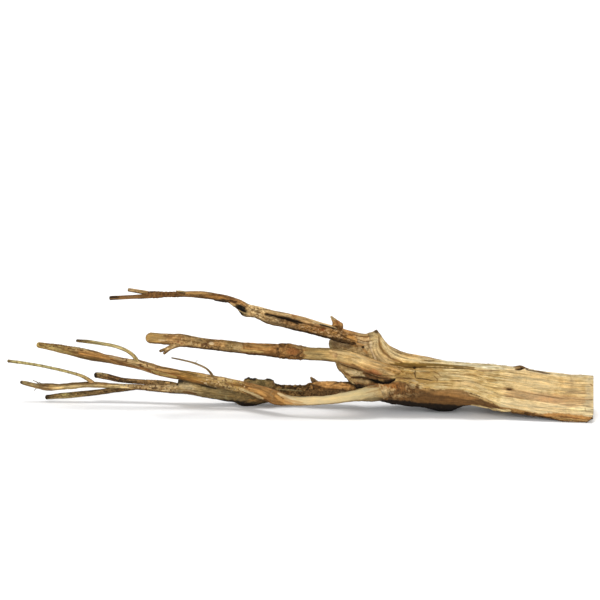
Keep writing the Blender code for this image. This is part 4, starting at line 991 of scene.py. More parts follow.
def buildUpperBranch(look):
    # one tube for the branch, and smaller ones for its prongs, snag, torn knee and splinter
    shape = tubeOf(upperRoute, around=104, step=0.5, uneven=0.07, seed=3)
    fillet(shape, (look["kneeLump"], look["snag"][:2]), 3.0)
    s = Surface(shape, "tan", 11)
    s.bands(look["tones"], 4)
    s.streaks(s.whole, 16, 1.4, 0.7, 17)
    s.mottle(s.whole, (4.5, 4, 2.6), 0.6, 18)
    s.specks(s.span(184, 235, 3), 1.2, 0.5, (0.12, 0.06, 0.022), 19, relief=-0.15)
    s.stroke([(206, 296), (220, 297.6), (232, 300.4)], 1.4, 0.7, (0.52, 0.27, 0.09))
    s.stroke([(186, 292.4), (198, 292.6), (212, 294)], 1, 0.7, (0.5, 0.35, 0.17))
    rings = 0.5 + 0.5 * np.sin(s.px * 1.6 + 1.5 * s.ragged)
    s.lay(s.span(149, 182, 1.5) * rings * 0.6, (0.25, 0.13, 0.045))
    s.lay(s.span(149, 182, 1.5), bark=0.6, relief=0.1)
    s.relief += s.span(149, 182, 1.5) * rings * 0.25
    s.spot((183, 293, 3.2, 1.8, 20), 1, "darkBark", bark=0.6, relief=-0.3)
    s.spot((197, 293, 9, 2), 1, (0.5, 0.3, 0.12), bark=0.3)
    s.stroke([(186, 297.6), (198, 298.4), (212, 299)], 1.2, 0.8, "redBrown", bark=0.4)
    # painted shade on the undersides behind the knee
    s.lay(s.span(205, 232, 4) * s.under, "darkBark")
    s.spot((222.5, 300.4, 8, 1.5), 1, (0.05, 0.032, 0.018), bark=0.6, relief=0.8)
    # grey-tan skin with pits after the knee, smooth pale wood above, rough brown bark below
    s.lay(s.span(246, 300, 3), bark=0.45)
    s.shade(s.span(250, 266, 3), (1.35, 1.45, 1.6))
    s.specks(s.span(247, 300, 3), 1.3, 0.55, (0.22, 0.13, 0.06), 21, relief=-0.15)
    s.mottle(s.span(247, 300, 3), (2, 2, 1.6), 0.7, 20)
    s.stroke([(262, 310.5), (280, 313.6), (297, 317)], 1.3, 0.7, (0.7, 0.52, 0.29), bark=0.1)
    s.stroke([(270, 313), (286, 316.4), (300, 319.6)], 0.7, 0.7, (0.55, 0.36, 0.17))
    s.spot((297, 316, 5, 1.8, 12), 0.7, (0.46, 0.22, 0.08))
    s.lay(s.below([(255, 317), (300, 328)], 1.5) * s.span(250, 300, 4) * 0.6, (0.27, 0.19, 0.1), bark=0.6)
    s.stroke([(298, 317), (310, 319.4), (322, 322.4), (338, 327)], 3.5, 1, (0.92, 0.68, 0.38), bark=0)
    s.stroke([(292, 316), (300, 317.5), (312, 322)], 1.6, 0.7, "orange", bark=0.1)
    rough = s.below([(298, 323.5), (320, 327), (336, 330), (352, 333.5), (370, 338)], 1.2)
    rough = rough * s.span(298, 372, 5)
    s.lay(rough, (0.38, 0.21, 0.075), bark=1)
    knots = cellEdge(s.points / np.array([4.6, 2.6, 2.0]), 22)
    s.lay(rough * ramp(0.2, 0.03, knots) * 0.8, (0.09, 0.04, 0.014), relief=-0.5)
    s.lay(rough * ramp(0.12, 0.5, s.cloud((3.4, 2, 1.5), 23)) * 0.9, (0.7, 0.47, 0.26), relief=0.2)
    s.spot((321, 329, 7, 2.2, 12), ramp(0, 0.4, s.cloud(2, 37)), (0.22, 0.07, 0.022), relief=-0.3)
    # painted shade along the branch's lower edge, near black
    s.lay(s.below([(296, 328.4), (330, 336.4), (345, 339.5), (358, 343)], 1) * s.span(285, 360, 5) * 0.85,
          (0.055, 0.028, 0.01))
    s.spot((352, 331.5, 8, 1.6, 10), 0.7, (0.62, 0.36, 0.14), bark=0.5)
    s.stroke([(357, 337), (364, 338.8), (372, 338.6)], 1.1, 0.85, (0.8, 0.58, 0.3), bark=0.3, relief=0.5)
    s.spot((352, 338, 5, 2.2, 20), 0.8, (0.6, 0.33, 0.11), bark=0.6)
    s.crack([(340, 331.8), (347, 333.4), (353, 336)], 0.6, 0.4, (0.14, 0.06, 0.024), 0.7)
    root = s.span(357, 380, 2)
    s.lay(root * s.below([(355, 338), (380, 338)], 1), (0.78, 0.58, 0.34), bark=0.2)
    s.mottle(root, (5, 3, 1.8), 0.5, 45)
    s.lay(root * (1 - s.below([(355, 336), (380, 336)], 0.8)) * 0.6, (0.58, 0.45, 0.24), bark=0.4)
    s.crack([(354, 334.4), (359, 336), (365, 336.8), (373, 335)], 0.8, 0.5, (0.17, 0.09, 0.035), 0.8)
    s.crack([(357, 339), (363, 341.2), (370, 341.6)], 0.6, 0.3, (0.26, 0.13, 0.05), 0.7)
    s.crack([(340, 334.6), (347, 338.4), (355, 341)], 0.8, 0.6, "deepBrown", 0.7)
    s.stroke([(356, 342.4), (361, 345), (366, 346)], 1.2, 0.7, (0.68, 0.38, 0.14), bark=0.5)
    # the long crack, the step below it, and the knee's torn hollow, painted near black as shade
    s.stroke([(266, 314), (280, 317), (292, 320.4), (303, 323)], 2.8, 0.6, "brown")
    s.crack([(265, 313.6), (272, 315), (283, 317.2)], 1.3, 1.5)
    s.crack([(276, 315.8), (287, 318.2), (296, 320.8), (302, 322.6)], 2.1, 2.6)
    s.crack([(284, 318.5), (292, 321.6), (298, 324)], 1, 1.2, (0.05, 0.028, 0.012))
    s.crack([(302, 322.5), (314, 326), (326, 328.5)], 0.8, 0.7, (0.12, 0.06, 0.02), 0.85)
    s.crack([(320, 324.4), (329, 326.4), (337, 329)], 1.2, 0.9, (0.035, 0.018, 0.008))
    s.crack([(272, 322), (284, 325.6)], 0.6, 0.3, "greyBrown", 0.6)
    s.spot((241, 302.6, 6, 2.4, 40), 0.85, (0.66, 0.38, 0.16))
    s.crack([(236, 300), (242, 303.4), (246, 307)], 0.5, 0.4, (0.36, 0.15, 0.05), 0.8)
    s.crack([(233, 297.8), (240, 301.8), (245, 306)], 0.6, 0.3, "umber", 0.6)
    s.stroke([(236, 298.6), (242, 301.6), (247, 305.6)], 0.8, 0.7, (0.24, 0.13, 0.055))
    s.crack([(228, 300), (236, 303.2)], 0.6, 0.3, (0.14, 0.07, 0.03), 0.7)
    s.lay(s.blob(239.6, 310, 7.6, 5.4, 30, 0.3, 0.15, allRound=True) * 0.85, (0.12, 0.088, 0.036), bark=0.2)
    s.lay(s.blob(241.2, 309.2, 5.6, 4.3, 22, 0.3, 0.15, allRound=True), (0.012, 0.009, 0.006), bark=0,
          relief=-1)
    s.crack([(230, 300.2), (234, 302.4), (237.4, 301)], 1.3, 0.8, (0.07, 0.035, 0.015), 0.9)
    s.fibres(1.4, 26, 0.22, 24)
    s.fibres(3.4, 40, 0.35, 25)
    s.lumpy(2.4, 0.28, 26, s.bark)
    # painted shade on the undersides, none under the pale root
    shells = [s.shell(underShade=undersideShadeShare * (1 - root))]

    for number, route in enumerate(look["prongs"]):
        s = Surface(tubeOf(route, around=36, step=0.5, seed=5, blunt=0.6, shift=300 + 80 * number),
            (0.24, 0.14, 0.065), 12 + number)
        if number == 0:
            s.bands(((120, (0.4, 0.3, 0.17)), (131, (0.66, 0.44, 0.22)), (142, (0.6, 0.38, 0.16)),
                (152, (0.26, 0.14, 0.06))), 2)
            s.lay(s.below([(120, 290.4), (130, 291), (150, 294.4)], 0.8) * 0.8, (0.13, 0.07, 0.026))
        else:
            s.bands(((106, (0.15, 0.09, 0.045)), (116, (0.19, 0.11, 0.047)), (121, (0.35, 0.2, 0.09)),
                (146, "umber")), 1.5)
            # painted shade in the prong's hollow end
            s.crack([(110, 297.4), (114, 297.2), (119, 297.4)], 0.9, 0.7, (0.03, 0.018, 0.01))
            s.streaks(s.whole, 9, 1, 0.6, 39)
        s.fibres(0.9, 14, 0.16, 27 + number)
        shells.append(s.shell())

    s = Surface(tubeOf(look["snag"], around=56, step=0.4, uneven=0.12, seed=8, shift=500,
        lumps=look["snagLumps"]), (0.44, 0.25, 0.095), 14, 0.3)
    s.lay(ramp(321, 317.5, s.row), (0.7, 0.55, 0.32), bark=0)
    s.spot((337.5, 322.5, 2.4, 2), 0.8, (0.3, 0.12, 0.04), bark=0.5, relief=-0.4)
    s.crack([(335, 325.8), (341, 327.2)], 0.8, 0.4, "darkBark", 0.8)
    s.lay(s.below([(330, 325), (345, 326.5)], 0.7) * 0.8, (0.16, 0.075, 0.025))
    s.mottle(s.whole, 1.6, 0.6, 28)
    s.relief = s.relief - 3.6 * s.below([(330, 326.6), (346, 329.6)], 1.6, 0.2) - 0.7 * ramp(338, 342, s.px)
    s.fibres(1.6, 12, 0.6, 29, ridged=True)
    shells.append(s.shell(underShade=0.2))

    shape = tubeOf(look["kneeLump"], around=72, step=0.35, uneven=0.07, seed=8, blunt=0.5, shift=560)
    fillet(shape, (upperRoute[7:15],), 2.5)
    s = Surface(shape, (0.52, 0.37, 0.19), 15, 0.3)
    s.mottle(s.whole, (2.4, 2.4, 2), 0.6, 38)
    # the hollow painted near black as shade, with a darker rim
    s.lay(s.blob(239.2, 310.2, 8, 5.6, 34, 0.3, 0.15, allRound=True) * 0.9, (0.125, 0.09, 0.036), bark=0.2)
    s.lay(s.blob(240.8, 309.4, 6, 4.6, 24, 0.3, 0.15, allRound=True), (0.012, 0.009, 0.006), bark=0,
          relief=-1.6)
    s.spot((232.6, 303.6, 4, 1.4, 36), 0.9, (0.66, 0.44, 0.21))
    s.stroke([(229, 305), (234, 307.4), (237.4, 312)], 1, 0.7, (0.3, 0.19, 0.08), bark=0.4)
    s.stroke([(238, 311), (243, 313), (249, 313.6)], 0.9, 0.7, (0.62, 0.46, 0.24))
    s.fibres(1.2, 16, 0.25, 30)
    shells.append(s.shell())

    s = Surface(tubeOf(look["splinter"], around=14, step=0.5, seed=9, shift=600), (0.5, 0.38, 0.2), 16)
    shells.append(s.shell())
    makeMesh("upperBranchWood", shells, brownFinish, "upper_branch")


buildUpperBranch(upper)

# middle branch: smooth bark, a rough knot half way, a blunt pale tip and a forked stub
middle = {
    "tones": ((140, (0.6, 0.39, 0.15)), (163, (0.56, 0.37, 0.15)), (169, (0.46, 0.28, 0.12)),
              (184, (0.42, 0.28, 0.13)), (204, (0.4, 0.28, 0.13)), (209, (0.33, 0.2, 0.08)),
              (222, (0.36, 0.23, 0.1)), (230, (0.42, 0.28, 0.12)), (241, "lightBrown"),
              (246, (0.44, 0.23, 0.08)), (268, (0.42, 0.22, 0.075)), (276, (0.26, 0.135, 0.05)),
              (301, (0.27, 0.14, 0.05)), (307, (0.5, 0.35, 0.15)), (328, (0.52, 0.36, 0.155)),
              (337, (0.66, 0.46, 0.21)), (362, (0.76, 0.52, 0.235)), (388, (0.66, 0.43, 0.18)),
              (412, (0.62, 0.4, 0.16))),
    "knot": (-5, -13, 66, 12, 1.1),
    "stub": [(-114, -12.5, 74.5, 3.3), (-122, -16.5, 73, 2.9), (-130, -20, 70, 2.3)],
    "prongs": ([(-128, -19, 71, 1.9), (-137, -21, 68.2, 1.5)], [(-127, -19, 71, 1.9), (-133, -22, 66.2, 1.5)]),
}


def buildMiddleBranch(look):
    # one tube for the branch, and smaller ones for the forked stub below it
    shape = tubeOf(middleRoute, around=100, step=0.52, uneven=0.05, seed=11, lumps=[look["knot"]])
    fillet(shape, (look["stub"],), 3.0)
    s = Surface(shape, "tan", 51)
    s.bands(look["tones"], 3.5)
    bare = 1 - s.span(300, 420, 12) * 0.55 - s.span(140, 165, 4) * 0.4
    s.streaks(bare, 24, 1.8, 0.6, 49)
    s.mottle(bare, (4, 3.6, 2.6), 0.55, 50)
    s.lay(s.span(165, 186, 2), bark=0.35)
    s.specks(s.span(166, 184, 2), 1.6, 0.55, (0.27, 0.11, 0.045), 52)
    s.specks(s.span(162, 186, 2), 1.5, 0.45, (0.74, 0.54, 0.3), 48)
    s.lay(s.span(184, 243, 3), bark=0.45)
    s.specks(s.span(185, 243, 3), 0.9, 0.5, (0.13, 0.08, 0.035), 53, relief=-0.1)
    s.specks(s.span(185, 243, 3) * 0.6, 2.4, 0.5, (0.58, 0.45, 0.26), 54)
    s.specks(s.span(202, 226, 2), 1.5, 0.6, (0.12, 0.06, 0.025), 55, relief=-0.3)
    s.lay(s.span(213, 226, 2) * (1 - s.below([(205, 345), (235, 347)], 1)) * 0.6, (0.46, 0.26, 0.1))
    s.specks(s.span(212, 226, 1.5) * (1 - s.below([(205, 345), (235, 347)], 1)), 1.5, 0.6, (0.7, 0.44, 0.2), 47)
    s.stroke([(168, 334.4), (176, 333.6), (184, 334.8), (192, 337)], 0.9, 0.8, (0.16, 0.1, 0.04), bark=0.5)
    s.stroke([(204, 339.6), (214, 340.8), (228, 341), (243, 342.2)], 0.9, 0.7, (0.22, 0.13, 0.05))
    s.stroke([(186, 346.6), (205, 348.8), (222, 351), (241, 353)], 1.1, 0.85, (0.1, 0.055, 0.02), bark=0.5)
    s.stroke([(242, 342), (243, 345), (244.5, 350)], 1.2, 0.7, (0.2, 0.1, 0.04), bark=0.5, ragged=0.8)
    s.specks(s.blob(205, 346, 4, 4.5, 20), 1.5, 0.7, (0.14, 0.07, 0.03), 44, relief=-0.2)
    s.spot((211.3, 343.4, 2.8, 1.5), 1, (0.96, 0.76, 0.5), bark=0)
    s.spot((238, 347, 4, 3), 0.5, (0.5, 0.37, 0.2))
    s.stroke([(242, 350.2), (252, 351.2), (263, 352.2)], 1.6, 1, (0.62, 0.43, 0.18), bark=0)
    s.stroke([(250, 345), (262, 346.5), (272, 347)], 1.1, 0.5, (0.56, 0.34, 0.13))
    s.lay(s.below([(240, 352), (275, 353)], 1.2) * s.span(243, 276, 3) * 0.75, (0.16, 0.08, 0.03), bark=0.5)
    # the rough knot: a dark ring of bark with an orange core
    knot = s.span(275, 305, 2)
    s.lay(knot, bark=0.85)
    grit = s.cloud(3.0, 56)
    s.lay(knot * ramp(0.05, 0.5, grit) * 0.9, (0.44, 0.25, 0.095), relief=0.4)
    s.lay(knot * ramp(0.05, 0.5, -grit) * 0.8, (0.1, 0.05, 0.018), relief=-0.4)
    s.spot((293, 351.5, 6, 3.6), 1, (0.3, 0.13, 0.045), relief=-0.4)
    s.crack([(281, 354), (288, 356), (297, 356), (303, 351.5), (299, 348)], 0.9, 0.4, (0.09, 0.045, 0.018), 0.7)
    s.spot((299, 347, 6, 1.6, 15), 0.7, (0.5, 0.34, 0.17), bark=0.5)
    s.lay(s.span(304, 330, 2) * s.below([(300, 357), (330, 358.5)], 1.5) * 0.5, (0.3, 0.22, 0.1))
    s.specks(s.blob(334, 352.5, 4.5, 4.2), 1.2, 0.8, (0.34, 0.18, 0.08), 57, relief=-0.35)
    s.crack([(338, 362), (350, 365), (362, 370), (372, 374)], 1.4, 0.5, (0.36, 0.19, 0.075), 0.8)
    s.spot((373, 373.5, 9, 3, 25), 0.9, (0.34, 0.14, 0.05), bark=0.4)
    s.stroke([(352, 359), (368, 364.5), (384, 371), (396, 374.5)], 2.2, 0.6, (0.82, 0.58, 0.3))
    s.crack([(356, 363.5), (372, 368.5), (388, 374.5)], 0.5, 0.3, (0.45, 0.25, 0.09), 0.6)
    s.crack([(384, 368), (396, 371.5), (408, 373.5)], 0.6, 0.4, (0.3, 0.16, 0.05), 0.6)
    s.spot((155, 337.5, 7, 4), 0.4, (0.66, 0.44, 0.18))
    s.stroke([(330, 351), (352, 354), (372, 361), (390, 368)], 1.8, 0.5, (0.88, 0.64, 0.34))
    s.stroke([(306, 348.6), (330, 349.4), (350, 352)], 0.8, 0.5, (0.36, 0.24, 0.1))
    s.crack([(331.4, 354), (333.6, 351.8), (336.4, 352.8), (337, 356), (334.8, 358), (332, 357)], 0.6, 0.25,
            (0.34, 0.17, 0.08), 0.6)
    s.spot((334.3, 355, 2, 1.8), 0.4, (0.56, 0.33, 0.18))
    s.crack([(352, 364), (364, 369), (376, 375.5)], 0.8, 0.3, (0.3, 0.12, 0.04), 0.7)
    s.mottle(s.span(388, 430, 5), (5, 4, 2.4), 0.8, 46, (0.5, 0.42, 0.24), (1.2, 1.2, 1.3))
    s.shade(s.span(222, 243, 3), (1.12, 1.18, 1.22))
    s.shade(s.span(244, 270, 3) * (1 - s.below([(244, 349.5), (275, 351)], 1)), (1.22, 1.3, 1.34))
    s.shade(s.span(305, 364, 4), (1.16, 1.22, 1.28))
    s.shade(s.span(366, 420, 5), (0.88, 0.88, 0.88))
    s.spot((376, 372.5, 6, 2.6, 20), 0.7, (0.5, 0.22, 0.09), bark=0.4)
    s.spot((162, 340.6, 3.4, 1, 5), 1, (0.92, 0.72, 0.46))
    s.stroke([(160, 342.4), (166, 341.6), (171, 343.4)], 0.8, 0.7, "umber")
    s.stroke([(148, 334.5), (153, 333.4), (163, 333.6)], 0.9, 0.5, (0.34, 0.25, 0.09))
    s.stroke([(150, 342), (158, 343.4), (164, 343)], 0.9, 0.6, (0.26, 0.17, 0.06))
    s.stroke([(384, 372.4), (396, 375.6), (410, 377)], 1, 0.7, (0.86, 0.62, 0.32))
    s.crack([(245, 354), (260, 355.6), (275, 357)], 0.9, 0.2, (0.07, 0.04, 0.016), 0.7)
    # painted shade on the undersides
    s.lay(s.under * 0.4, (0.16, 0.085, 0.035))
    # its root: a reddish ledge with a painted highlight, and the slot between it and the trunk, painted black
    # as shade
    s.lay(s.below([(366, 374), (380, 376.6), (396, 377)], 0.8) * s.span(366, 397, 1.5) * 0.8,
          (0.36, 0.17, 0.065), bark=0.4)
    s.stroke([(374, 377.6), (382, 378.4), (390, 377.8)], 0.8, 0.6, (0.56, 0.34, 0.15), bark=0.5)
    slot = s.below([(366, 379), (372, 379.8), (382, 380.1), (392, 379.2), (396, 378.6)], 0.5, 0.3)
    slot = slot * s.span(370, 394.5, 0.8, 0.6)
    s.lay(slot, (0.012, 0.008, 0.006), bark=0, relief=-0.8)
    s.fibres(1.3, 30, 0.12, 58)
    s.fibres(3.6, 45, 0.25, 59)
    s.lumpy(2.6, 0.22, 60, s.bark)
    s.lumpy(9, 0.35, 61)
    # painted shade on the undersides, less near the root
    shells = [s.shell(underShade=undersideShadeShare * (1 - 0.6 * s.span(340, 400, 5)))]
    for number, route in enumerate((look["stub"], *look["prongs"])):
        s = Surface(tubeOf(route, around=28, step=0.4, uneven=0.08, seed=12 + number, shift=400 + 30 * number),
            (0.4, 0.27, 0.12), 17 + number, 0.2)
        s.lay(s.below([(155, 352), (178, 347.6)], 0.8) * 0.6, (0.16, 0.09, 0.04))
        s.stroke([(165, 350.4), (170, 347.6), (179, 343.8)], 1.1, 0.8, (0.74, 0.56, 0.32))
        s.spot((161.4, 350.4, 3, 1.6), 0.8, (0.17, 0.11, 0.05))
        s.mottle(s.whole, 1.6, 0.8, 66 + number)
        s.fibres(0.8, 10, 0.15, 62 + number)
        shells.append(s.shell())
    makeMesh("middleBranchWood", shells, brownFinish, "middle_branch")


buildMiddleBranch(middle)

# front limb and the long limb that it goes on in: one run of wood, parted at the swollen node
frontRun = {
    "tones": ((30, (0.42, 0.3, 0.12)), (48, (0.4, 0.28, 0.13)), (62, (0.38, 0.26, 0.12)), (72, "dullTan"),
              (88, (0.5, 0.32, 0.14)), (108, (0.48, 0.29, 0.12)), (124, (0.38, 0.23, 0.1)),
              (138, (0.48, 0.35, 0.18)), (152, (0.42, 0.28, 0.13)), (168, (0.46, 0.28, 0.11)),
              (188, (0.44, 0.27, 0.1)), (206, "lightBrown"),
              (222, (0.48, 0.34, 0.18)), (240, "dullTan"), (250, (0.52, 0.29, 0.1)), (268, (0.48, 0.26, 0.09)),
              (283, (0.48, 0.27, 0.1)), (292, (0.82, 0.62, 0.33)), (310, (0.88, 0.68, 0.38)),
              (340, (0.84, 0.66, 0.36)), (356, (0.74, 0.59, 0.31)), (374, (0.68, 0.53, 0.28)),
              (384, (0.42, 0.26, 0.12))),
    "swellings": ((-22, -15, 17.5, 9, 1.2), (-215, 20, 56, 12, 0.6)),
    "twigs": ([(-163.5, 20, 45.3, 2.9), (-165.5, 19, 51.3, 2.2), (-172.5, 17, 58.4, 1.9),
               (-182.5, 15, 63.6, 1.85), (-201.5, 14, 67.9, 1.85), (-214.5, 13, 70.1, 1.9),
               (-224.5, 13, 71, 1.6)],
              [(-84, 13, 29.2, 1.8), (-87, 9, 37.5, 1.3), (-92, 5, 43.7, 1.1), (-102, 2, 49.2, 1),
               (-116.5, -1, 54, 0.9), (-126.5, -3, 56.6, 0.7)]),
    "sprig": [(-101, 2, 49, 0.4), (-102, 1.5, 51.5, 0.3), (-100, 1, 53.5, 0.2)],
}


def paintFrontRun(s, look):
    # the marks of both parts, from the long limb's tip to the front limb's root
    s.bands(look["tones"], 4)
    brown = s.span(-50, 284, 3)
    s.streaks(brown, 30, 2.4, 0.75, 101)
    s.streaks(brown, 11, 1.3, 0.6, 100)
    s.mottle(brown * (0.4 + 0.6 * s.span(118, 165, 6)), (5, 4, 2.8), 0.55, 99)
    # tip: dark ragged upper edge, olive below; then an orange stretch with a pale rise on top and dark edges
    thick = s.span(49, 100, 6, 0.5)
    s.relief += thick * (0.9 * ramp(0.1, 0.8, s.up) + 0.5 * ramp(-0.1, -0.8, s.up))
    s.shade(s.span(30, 72, 4), (1.38, 1.5, 1.28))
    s.stroke([(42, 342.6), (55, 344.6), (70, 348), (84, 350.4)], 2, 0.85, (0.21, 0.11, 0.034), bark=0.6,
        ragged=0.7)
    s.specks(s.span(44, 90, 5) * (1 - s.below([(40, 346), (95, 353.6)], 1)), 1.1, 0.6, (0.14, 0.07, 0.024), 94,
        relief=0.3)
    s.stroke([(58, 347.6), (70, 351), (82, 353)], 1.2, 0.7, (0.2, 0.1, 0.032))
    s.spot((41.5, 344.6, 2.6, 2), 0.7, (0.24, 0.15, 0.05))
    s.stroke([(42, 347.4), (55, 350), (68, 353)], 1.4, 0.6, (0.5, 0.38, 0.17))
    s.stroke([(38.6, 343), (41, 345.2), (44.4, 346)], 1.1, 0.75, (0.22, 0.13, 0.05))
    s.specks(s.span(34, 66, 4), 1.3, 0.45, (0.28, 0.17, 0.065), 93, relief=-0.15)
    s.stroke([(72, 348.4), (80, 348.6), (88, 350.6)], 1.2, 0.7, (0.62, 0.48, 0.24))
    s.stroke([(80, 352.6), (95, 354.6), (113, 359)], 2.4, 0.75, (0.6, 0.31, 0.1))
    s.stroke([(72, 355.6), (90, 358.6), (112, 363)], 1.4, 0.7, (0.22, 0.14, 0.05))
    s.stroke([(110, 356.4), (122, 359), (134, 361.6), (142, 364)], 1.6, 0.75, (0.7, 0.52, 0.3))
    s.stroke([(111, 359.4), (122, 363.6), (136, 366.6)], 1.5, 0.85, (0.17, 0.08, 0.026))
    s.stroke([(127, 360.6), (142, 364.6), (150, 367)], 2, 0.6, (0.7, 0.52, 0.27))
    s.stroke([(140, 367), (146, 369), (152, 371.4)], 1, 0.8, (0.26, 0.11, 0.035))
    s.stroke([(150, 366), (165, 370), (180, 372.6)], 1, 0.6, (0.64, 0.42, 0.19))
    s.stroke([(152, 371), (165, 374.4), (176, 377)], 1.6, 0.7, (0.58, 0.45, 0.19))
    s.stroke([(160, 371.6), (175, 375), (190, 379.6), (203, 383.6)], 0.9, 0.75, (0.26, 0.12, 0.04))
    s.stroke([(182, 376), (195, 379), (208, 382.6)], 1.6, 0.6, (0.6, 0.33, 0.11))
    # painted shade along the long limb's lower edge, where it meets the lower limb
    s.stroke([(180, 379.8), (195, 384.4), (214, 388), (238, 394)], 1, 0.7, (0.14, 0.075, 0.03))
    s.specks(s.span(120, 160, 5), 1.8, 0.6, (0.2, 0.1, 0.045), 112, relief=-0.12)
    s.shade(s.span(180, 243, 4), (1.08, 1.12, 1))
    s.lay(s.span(206, 247, 4), bark=0.45)
    s.specks(s.span(206, 247, 4), 1.5, 0.6, (0.24, 0.14, 0.065), 103, relief=-0.12)
    s.specks(s.span(200, 247, 4), 1.8, 0.5, (0.74, 0.56, 0.34), 104)
    s.specks(s.span(236, 252, 3), 1.7, 0.5, (0.36, 0.17, 0.07), 98)
    s.stroke([(241, 389), (250, 393), (263, 398.5)], 1.5, 1, (0.84, 0.66, 0.38), bark=0)
    s.crack([(243, 391.5), (253, 396.5)], 0.5, 0.3, (0.3, 0.18, 0.07), 0.7)
    s.spot((262, 391, 9, 4, 25), 0.6, (0.6, 0.34, 0.12), bark=0)
    s.crack([(247, 386), (260, 389), (270, 394)], 0.7, 0.4, (0.24, 0.12, 0.045), 0.7)
    # the wrinkled node, then smooth pale wood
    node = s.blob(276.5, 398, 8.5, 9, 0, 0.3, allRound=True)
    s.lay(node, (0.44, 0.24, 0.085), bark=0.3)
    s.streaks(node, 9, 1.4, 0.6, 97)
    s.stroke([(273, 390.6), (270.4, 394), (272.8, 398), (271.4, 401)], 0.8, 0.4, (0.52, 0.38, 0.2), bark=0.4,
        ragged=1.2)
    s.shade(s.span(245, 287, 2), (0.75, 0.75, 0.74))
    s.crack([(274, 395), (273.6, 399), (276, 403.6)], 0.5, 0.3, (0.26, 0.13, 0.05), 0.6)
    s.stroke([(276, 396), (282, 400.6), (292, 403.6)], 1.9, 0.85, (0.66, 0.36, 0.12), relief=0.3)
    s.stroke([(278, 393.4), (285, 396.6), (295, 399.6)], 1.7, 0.9, (0.92, 0.74, 0.46), bark=0, relief=0.3)
    s.stroke([(249, 388), (258, 391.6), (266, 396)], 1.5, 0.7, (0.74, 0.42, 0.15))
    s.stroke([(282, 396.5), (291, 400.5), (303, 402.8)], 1.1, 0.75, (0.56, 0.32, 0.13))
    s.stroke([(284, 401), (294, 403.8), (306, 404.6)], 0.9, 0.7, (0.46, 0.25, 0.1))
    # the root takes on the trunk's curly bark
    root = s.span(379, 430, 3.5, 5)
    s.lay(root, (0.2, 0.105, 0.04), bark=0.45)
    curl = curlOf(s)
    s.lay(root * ramp(0.12, 0.5, curl) * 0.75, (0.46, 0.32, 0.17), relief=0.4)
    s.lay(root * ramp(0.11, 0.02, np.abs(curl + 0.03)) * 0.75, (0.07, 0.034, 0.014), relief=-0.4)
    s.lay(tornEdge(s, curl) * 0.85, (0.62, 0.48, 0.26), bark=0.1)
    s.stroke([(368, 387.5), (377, 386), (388, 385)], 1.4, 0.7, (0.46, 0.23, 0.08), bark=0.6)
    s.stroke([(366, 393), (378, 390), (388, 388)], 0.8, 0.6, (0.4, 0.25, 0.1))
    s.stroke([(364, 398.4), (374, 396.6), (386, 396)], 1, 0.6, (0.36, 0.24, 0.1))
    # painted shade: near black under the root where it meets the trunk, and the undersides darkened
    gap = s.below([(350, 402.6), (358, 400.4), (368, 397.6), (384, 396.8)], 0.6, 0.3)
    s.lay(gap * s.span(358, 430, 2) * 0.95, (0.03, 0.018, 0.009))
    s.relief += 2.4 * s.span(366, 400, 10) * s.under
    s.lay(s.span(286, 380, 5) * s.under * 0.6, (0.45, 0.32, 0.17))
    s.shade(s.span(286, 377, 3), (0.9, 0.95, 1.04))
    s.lay(s.span(350, 378, 4) * s.below([(340, 401), (380, 393)], 1.5) * 0.4, (0.5, 0.4, 0.22))
    pale = s.span(286, 385, 5)
    s.fibres(1.4, 34, 0.22, 105, 1 - pale * 0.8)
    s.fibres(3.6, 50, 0.45, 106, 1 - pale * 0.7)
    s.lumpy(2.4, 0.22, 107, s.bark)
    s.lumpy(9, 0.3, 108)


def buildFrontRun(look):
    # one tube parted at frontEnd, where both parts keep the same ring, and the long limb's twigs
    settings = {"around": 92, "step": 0.5, "uneven": 0.045, "seed": 21, "lumps": look["swellings"]}
    run = frontRoute + longRoute
    near = tubeOf(run, low=frontEnd, high=999, **settings)
    far = tubeOf(run, low=-999, high=frontEnd - 0.02, **settings)
    for name, shape, finish, node in (("frontLimbWood", near, paleFinish, "front_limb"),
                                      ("longLimbWood", far, brownFinish, "long_limb")):
        fillet(shape, (backRoute[4:] + lowerRoute[:6],), 3.0)
        fillet(shape, (look["twigs"][0][:3], look["twigs"][1][:3]), 2.5)
        s = Surface(shape, "tan", 18)
        paintFrontRun(s, look)
        # painted shade on the undersides, less towards the long limb's tip
        shells = [s.shell(underShade=undersideShadeShare * (1 - 0.6 * s.span(20, 76, 5)))]
        if node == "long_limb":
            for number, route in enumerate(look["twigs"]):
                s = Surface(tubeOf(route, around=26, step=0.5, uneven=0.06, seed=22 + number, shift=600
                    + 120 * number), (0.33, 0.26, 0.13), 19 + number)
                s.bands(((70, (0.1, 0.07, 0.035)), (80, (0.16, 0.11, 0.055)), (90, (0.44, 0.35, 0.19)),
                         (118, (0.6, 0.48, 0.27)), (136, (0.46, 0.34, 0.17)), (165, (0.2, 0.15, 0.08)),
                         (180, (0.3, 0.22, 0.12)), (212, (0.4, 0.28, 0.14))), 2)
                s.streaks(s.whole, 10, 1.1, 0.7, 92 + number)
                s.shade(s.span(80, 140, 6), (0.98, 1.06, 1))
                s.stroke([(136, 359), (134.6, 355)], 1, 0.7, (0.24, 0.17, 0.07))
                s.fibres(0.8, 14, 0.14, 109 + number)
                shells.append(s.shell())
            shells.append(Surface(tubeOf(look["sprig"], around=8, step=0.5, shift=900), (0.45, 0.36, 0.2),
                24).shell())
        makeMesh(name, shells, finish, node)


buildFrontRun(frontRun)

